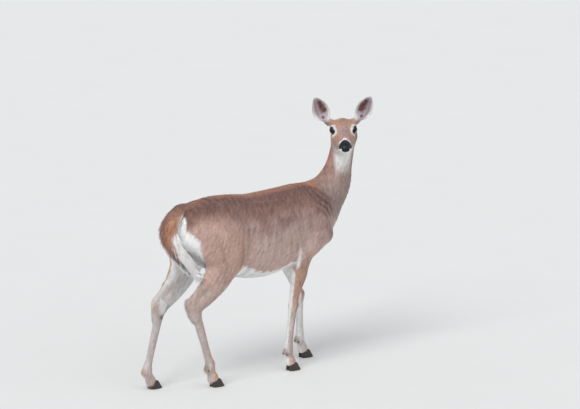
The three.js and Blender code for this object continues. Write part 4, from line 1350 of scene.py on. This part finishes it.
def grow(name, roots, kind, droop=0.0):
    """Tufts as slim closed spikes of three sides, each rooted just under the skin and lying along it."""
    count = len(roots.at)
    long_, wide, rise, _ = roots.growth.T
    long_ = long_ * rng.uniform(0.75, 1.25, count)
    wide = wide * rng.uniform(0.75, 1.25, count)
    rise = rise * rng.uniform(0.5, 1.25, count)
    normal = roots.normal
    side = np.cross(normal, roots.lie)
    lie = unit(roots.lie + side * rng.normal(0, SPLAY, count)[:, None])
    side = np.cross(normal, lie)
    bend = rng.normal(0, SPLAY * 0.6, count)[:, None]
    own = roots.colour * rng.normal(1, 0.085, (count, 1))
    rings, at_point = TUFT_RINGS[kind], kind != "short"
    points, normals, tints, patch = [], [], [], []

    def add(t, across, up, half):
        lift = (rise * (1 - (1 - t) ** 2) - 0.5)[:, None]
        fall = np.array([0, 0, -1.0]) * (droop * long_ * t * t)[:, None]
        mid = roots.at + (lie + side * bend * t) * (long_ * t)[:, None] + normal * lift + fall
        points.append(mid + side * across * half + normal * up * half * 0.75)
        normals.append(unit(normal + side * across * 0.5 - lie * 0.08))
        tints.append(own * (0.9 + 0.18 * t))
        patch.append((across * PATCH, (2 * t - 1) * PATCH))

    if at_point:
        add(0.0, 0, 0, 0)
    for t, share in rings:
        for across, up in ((-1, 0), (1, 0), (0, 1)):
            add(t, across, up, (wide * share / 2)[:, None])
    add(1.0, 0, 0, 0)
    faces, under = tuft_faces(len(rings), at_point)
    every = (faces[None] + (np.arange(count) * len(points))[:, None, None]).reshape(-1, 3)
    mesh = mesh_from(name, np.clip(np.stack(points, 1).reshape(-1, 3), *OUTLINE), every)
    set_colour(mesh, np.clip(np.stack(tints, 1).reshape(-1, 3), 0, 1))
    uv = (roots.uv[:, None] + np.array(patch)[None]).reshape(-1, 2)
    mesh.uv_layers.new(name="OFBake").data.foreach_set("uv", uv[every.ravel()].ravel())
    facing = np.stack(normals, 1).reshape(-1, 3)[every].reshape(count, -1, 3, 3)
    facing[:, under] = -normal[:, None, None]
    mesh.normals_split_custom_set(facing.reshape(-1, 3))
    return new_piece(name, mesh, "coat")


roots = Roots()
x, y, z = roots.at.T
legs = roots.held_by(*LEGS)
low = legs & (z < 480)
high = (roots.held_by("trunk") | legs) & ~low
fore = roots.held_by("fore_left", "fore_right")
coats = []
for side, on_side in (("right", x <= 0), ("left", x > 0)):
    for place, there in (("fore", y < -130), ("middle", (y >= -130) & (y < 110)), ("rear", y >= 110)):
        coats.append(grow(f"coat_{side}_{place}", roots.some(high & on_side & there), "flat"))
for name, mask, kind, droop in (
    ("coat_neck", roots.held_by("neck"), "flat", 0),
    ("coat_head", roots.held_by("head"), "short", 0),
    ("coat_forelegs", low & fore, "short", 0),
    ("coat_hindlegs", low & ~fore, "short", 0),
    ("coat_tail", roots.held_by("tail"), "long", 0.12),
    ("coat_ears", roots.held_by("ears"), "short", 0),
):
    coats.append(grow(name, roots.some(mask), kind, droop))

# ---------------------------------------------------------------- eyes, nose, hooves


def make_eye(s):
    """An eyeball with its cornea standing a little proud, ringed about the way it looks."""
    gaze = EYE_GAZE[s]
    ahead = unit(np.cross(gaze, (0, 0, 1)))
    up = np.cross(ahead, gaze)
    rings, spokes = 28, 48
    angle = np.linspace(0.02, math.pi * 0.62, rings)[:, None]
    turn = np.linspace(0, 2 * math.pi, spokes, endpoint=False)[None]
    radius = EYE_RADIUS + 0.7 * ease(-angle, -0.9, -0.3)
    round_gaze = ahead * np.cos(turn)[..., None] + up * np.sin(turn)[..., None]
    way = gaze * np.cos(angle)[..., None] + round_gaze * np.sin(angle)[..., None]
    at = (eye_centre(s) + way * radius[..., None]).reshape(-1, 3)
    mesh = mesh_from("eye", from_head(at), strip(rings, spokes)[:, ::-1])
    with editing(mesh) as bm:
        fill_holes(bm)
        bmesh.ops.recalc_face_normals(bm, faces=bm.faces)
    pupil = np.hypot(np.sin(angle) * np.cos(turn) / 0.62, np.sin(angle) * np.sin(turn) / 0.40).ravel()
    out = (np.sin(angle) + 0 * turn).ravel()
    C = plain(EYE_BROWN, at)
    lay(C, EYE_IRIS, ease(pupil, 0.95, 1.25) * fade(out, 0.62, 0.72))
    lay(C, EYE_EDGE, ease(out, 0.66, 0.74))
    # the pupil, with its painted bluish sheen
    lay(C, EYE_PUPIL_SHEEN, fade(pupil, 0.6, 1.0))
    set_colour(mesh, C)
    shade_smooth(mesh)
    side = "left" if s > 0 else "right"
    return new_piece("eyeball_" + side, mesh, "eye", "eye_" + side)


def bare_of_maps(mesh):
    for layer in list(mesh.uv_layers):
        mesh.uv_layers.remove(layer)


NOSE_PROUD = 0.0007  # in metres


def make_nose():
    """The bare leather of the nose: the skin's own faces there, a little proud of it."""
    h = to_head(P)
    inside = (pad_edge(h) < 0.6) & (h[:, 1] < 48) & on_face(P) & (lip_patch(h) > 0.95)
    inside &= holder != holders.index("ears")
    mesh = skin_mesh.copy()
    mesh.name = "nose"
    with editing(mesh) as bm:
        bm.verts.ensure_lookup_table()
        bmesh.ops.delete(bm, geom=[v for v in bm.verts if not inside[v.index]], context="VERTS")
        bm.normal_update()
        at = np.array([v.co for v in bm.verts]) * 1000 - SHIFT
        upper = face_height(to_head(at)) > -50
        smooth(bm, [v for v, high in zip(bm.verts, upper) if high and not v.is_boundary], 8)
        bm.normal_update()
        for v in bm.verts:
            v.co += v.normal * NOSE_PROUD
    bare_of_maps(mesh)
    put_points(mesh, np.clip(points_of(mesh), *OUTLINE))
    return new_piece("nose_leather", mesh, "nose", "nose_pad")


def make_horn(node):
    """A hoof or dewclaw, rounded from its faceted solid, with an edge left round the sole."""
    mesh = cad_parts[node].data.copy()
    with editing(mesh) as bm:
        bmesh.ops.remove_doubles(bm, verts=bm.verts, dist=1e-5)
        bmesh.ops.dissolve_limit(bm, angle_limit=0.03, verts=bm.verts, edges=bm.edges)
        crease = bm.edges.layers.float.new("crease_edge")
        floor = min(v.co.z for v in bm.verts)
        for e in bm.edges:
            if all(v.co.z < floor + 0.0005 for v in e.verts):
                e[crease] = 0.8
    piece = bpy.data.objects.new("faceted", mesh)
    rounding = piece.modifiers.new("rounding", "SUBSURF")
    rounding.levels = rounding.render_levels = 3
    made = evaluated(piece)
    bare_of_maps(made)
    shade_smooth(made)
    if "hoof" in node:  # rounding has drawn the walls in a little
        at = points_of(made)
        middle = (at.max(0) + at.min(0)) / 2
        at[:, 0] = middle[0] + (at[:, 0] - middle[0]) * 1.12
        put_points(made, at)
    return new_piece("horn_" + node, made, "hoof", node)


eyes = [make_eye(s) for s in (-1, 1)]
nose = make_nose()
horns = [make_horn(node) for node in sorted(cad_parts) if "hoof" in node or "dewclaw" in node]

# ---------------------------------------------------------------- materials


class Finish:
    """A Principled material and short ways to add nodes to it."""

    def __init__(self, name, roughness, **sockets):
        self.material = bpy.data.materials.new(name)
        self.material.use_nodes = True
        self.tree = self.material.node_tree
        self.shader = self.tree.nodes["Principled BSDF"]
        self.shader.inputs["Roughness"].default_value = roughness
        for key, value in sockets.items():
            self.shader.inputs[key.replace("_", " ")].default_value = value
        self.spot = self.node("ShaderNodeTexCoord").outputs["Object"]

    def node(self, kind, values=(), **inputs):
        """A new node. An input is called by its name, or by its number as _0, _1 and so on."""
        made = self.tree.nodes.new(kind)
        for key, value in dict(values).items():
            setattr(made, key, value)
        for key, value in inputs.items():
            socket = made.inputs[int(key[1:]) if key[1:].isdigit() else key.replace("_", " ")]
            if isinstance(value, bpy.types.NodeSocket):
                self.tree.links.new(value, socket)
            else:
                socket.default_value = value
        return made

    def join(self, socket, name):
        self.tree.links.new(socket, self.shader.inputs[name])

    def attribute(self, name, output):
        return self.node("ShaderNodeAttribute", {"attribute_name": name}).outputs[output]

    def noise(self, scale, detail, roughness=0.5, where=None):
        found = where or self.spot
        made = self.node("ShaderNodeTexNoise", Vector=found, Scale=scale, Detail=detail, Roughness=roughness)
        return made.outputs[0]

    def spread(self, value, low, high):
        return self.node("ShaderNodeMapRange", Value=value, To_Min=low, To_Max=high).outputs[0]

    def colour(self, base, noise, low, high):
        """A colour, given as a socket or in linear light, darkened and lightened by a noise."""
        if not isinstance(base, bpy.types.NodeSocket):
            base = (*base, 1)
        kind = {"data_type": "RGBA", "blend_type": "MULTIPLY"}
        mixed = self.node("ShaderNodeMix", kind, _0=1.0, _6=base, _7=self.spread(noise, low, high))
        self.join(mixed.outputs[2], "Base Color")

    def bump(self, height, strength, distance):
        made = self.node("ShaderNodeBump", Height=height, Strength=strength, Distance=distance)
        self.join(made.outputs["Normal"], "Normal")

    def on(self, *pieces):
        for piece in pieces:
            piece.data.materials.clear()
            piece.data.materials.append(self.material)
            piece.data.update()


def hair_finish():
    f = Finish("deer hair", 0.72, Sheen_Weight=0.12, Sheen_Roughness=0.45, Specular_IOR_Level=0.25)
    noise = f.noise(160.0, 3.0, 0.6)
    f.colour(f.attribute("Coat", "Color"), noise, 0.84, 1.14)
    f.join(f.spread(noise, 0.62, 0.84), "Roughness")
    return f


def skin_finish():
    """Short hairs drawn along the lie of the coat, by a noise that is pressed flat in that direction."""
    f = Finish("deer skin", 0.78, Sheen_Weight=0.1, Sheen_Roughness=0.5, Specular_IOR_Level=0.25)
    lie = f.attribute("Lie", "Vector")
    along = f.node("ShaderNodeVectorMath", {"operation": "DOT_PRODUCT"}, _0=f.spot, _1=lie).outputs["Value"]
    pressing = f.node("ShaderNodeMath", {"operation": "MULTIPLY"}, _0=along, _1=0.88).outputs[0]
    back = f.node("ShaderNodeVectorMath", {"operation": "SCALE"}, _0=lie, Scale=pressing).outputs[0]
    pressed = f.node("ShaderNodeVectorMath", {"operation": "SUBTRACT"}, _0=f.spot, _1=back).outputs[0]
    hairs = f.noise(900.0, 3.0, 0.65, pressed)
    f.colour(f.attribute("Coat", "Color"), hairs, 0.62, 1.1)
    f.bump(hairs, 0.8, 0.0012)
    return f


def nose_finish():
    f = Finish("wet nose", 0.36, Coat_Weight=0.12, Coat_Roughness=0.22, Specular_IOR_Level=0.24)
    cells = f.node("ShaderNodeTexVoronoi", {"feature": "DISTANCE_TO_EDGE"}, Vector=f.spot, Scale=620.0)
    # black leather with a painted bluish sheen, darkened and lightened by a noise
    f.colour(NOSE_BLACK_SHEEN, f.noise(240.0, 3.0), 0.6, 1.3)
    f.bump(cells.outputs[0], 0.3, 0.0007)
    return f


def horn_finish():
    f = Finish("hoof horn", 0.42)
    squeezed = f.node("ShaderNodeMapping", Vector=f.spot, Scale=(0.25, 0.25, 1.0)).outputs[0]
    rings = f.noise(420.0, 4.0, where=squeezed)
    f.colour(HORN_GREY, rings, 0.5, 1.4)
    f.bump(rings, 0.5, 0.0009)
    return f


def eye_finish():
    f = Finish("eye", 0.04, Specular_IOR_Level=0.34)
    f.colour(f.attribute("Coat", "Color"), f.noise(700.0, 2.0), 0.7, 1.2)
    return f


def floor_finish():
    f = Finish("floor", 0.85)
    f.colour(FLOOR_GREY, f.noise(3.0, 2.0), 0.985, 1.015)
    return f


hair_finish().on(*coats)
skin_finish().on(skin)
nose_finish().on(nose)
horn_finish().on(*horns)
eye_finish().on(*eyes)

# ---------------------------------------------------------------- floor, light and camera

bpy.ops.mesh.primitive_plane_add(size=90, location=(0, 0, 0))
floor = bpy.context.object
floor.name = "floor"
floor_finish().on(floor)

# The camera turns about a point on the doe, and looks a little to the side of it and above it.
CAMERA_TURN, CAMERA_RISE, CAMERA_FAR = math.radians(230), math.radians(12), 15.0
TARGET, ASIDE, ABOVE = Vector((0.0422, 0.0320, 0.375)), 0.173913, 0.371739
FILM_WIDTH, VIEW_WIDTH = 36, 2.521739  # millimetres, and metres at the doe
toward = Vector((
    math.sin(CAMERA_TURN) * math.cos(CAMERA_RISE),
    -math.cos(CAMERA_TURN) * math.cos(CAMERA_RISE),
    math.sin(CAMERA_RISE),
))
right = Vector((math.cos(CAMERA_TURN), math.sin(CAMERA_TURN), 0))


def sun(name, way, strength, spread):
    """Light that falls the same everywhere; `way` points from the doe to it."""
    data = bpy.data.lights.new(name, "SUN")
    data.energy, data.angle = strength, math.radians(spread)
    made = bpy.data.objects.new(name, data)
    made.rotation_euler = way.to_track_quat("Z", "Y").to_euler()
    bpy.context.scene.collection.objects.link(made)


sun("key", 0.85 * toward - 0.45 * right + Vector((0, 0, 0.72)), 1.65, 30)
sun("fill", 0.6 * toward + 0.9 * right + Vector((0, 0, 0.5)), 0.35, 70)
world = bpy.data.worlds.new("studio")
world.use_nodes = True
world.node_tree.nodes["Background"].inputs[0].default_value = (0.93, 0.96, 1.0, 1)
world.node_tree.nodes["Background"].inputs[1].default_value = 0.62
bpy.context.scene.world = world
bpy.context.scene.view_settings.view_transform = "Standard"

camera_data = bpy.data.cameras.new("camera")
camera_data.sensor_width = FILM_WIDTH
camera_data.lens = FILM_WIDTH * CAMERA_FAR / VIEW_WIDTH
camera_data.clip_end = 200
camera = bpy.data.objects.new("camera", camera_data)
camera.location = TARGET + CAMERA_FAR * toward + ASIDE * right + ABOVE * toward.cross(right)
camera.rotation_euler = toward.to_track_quat("Z", "Y").to_euler()
bpy.context.scene.collection.objects.link(camera)
bpy.context.scene.camera = camera
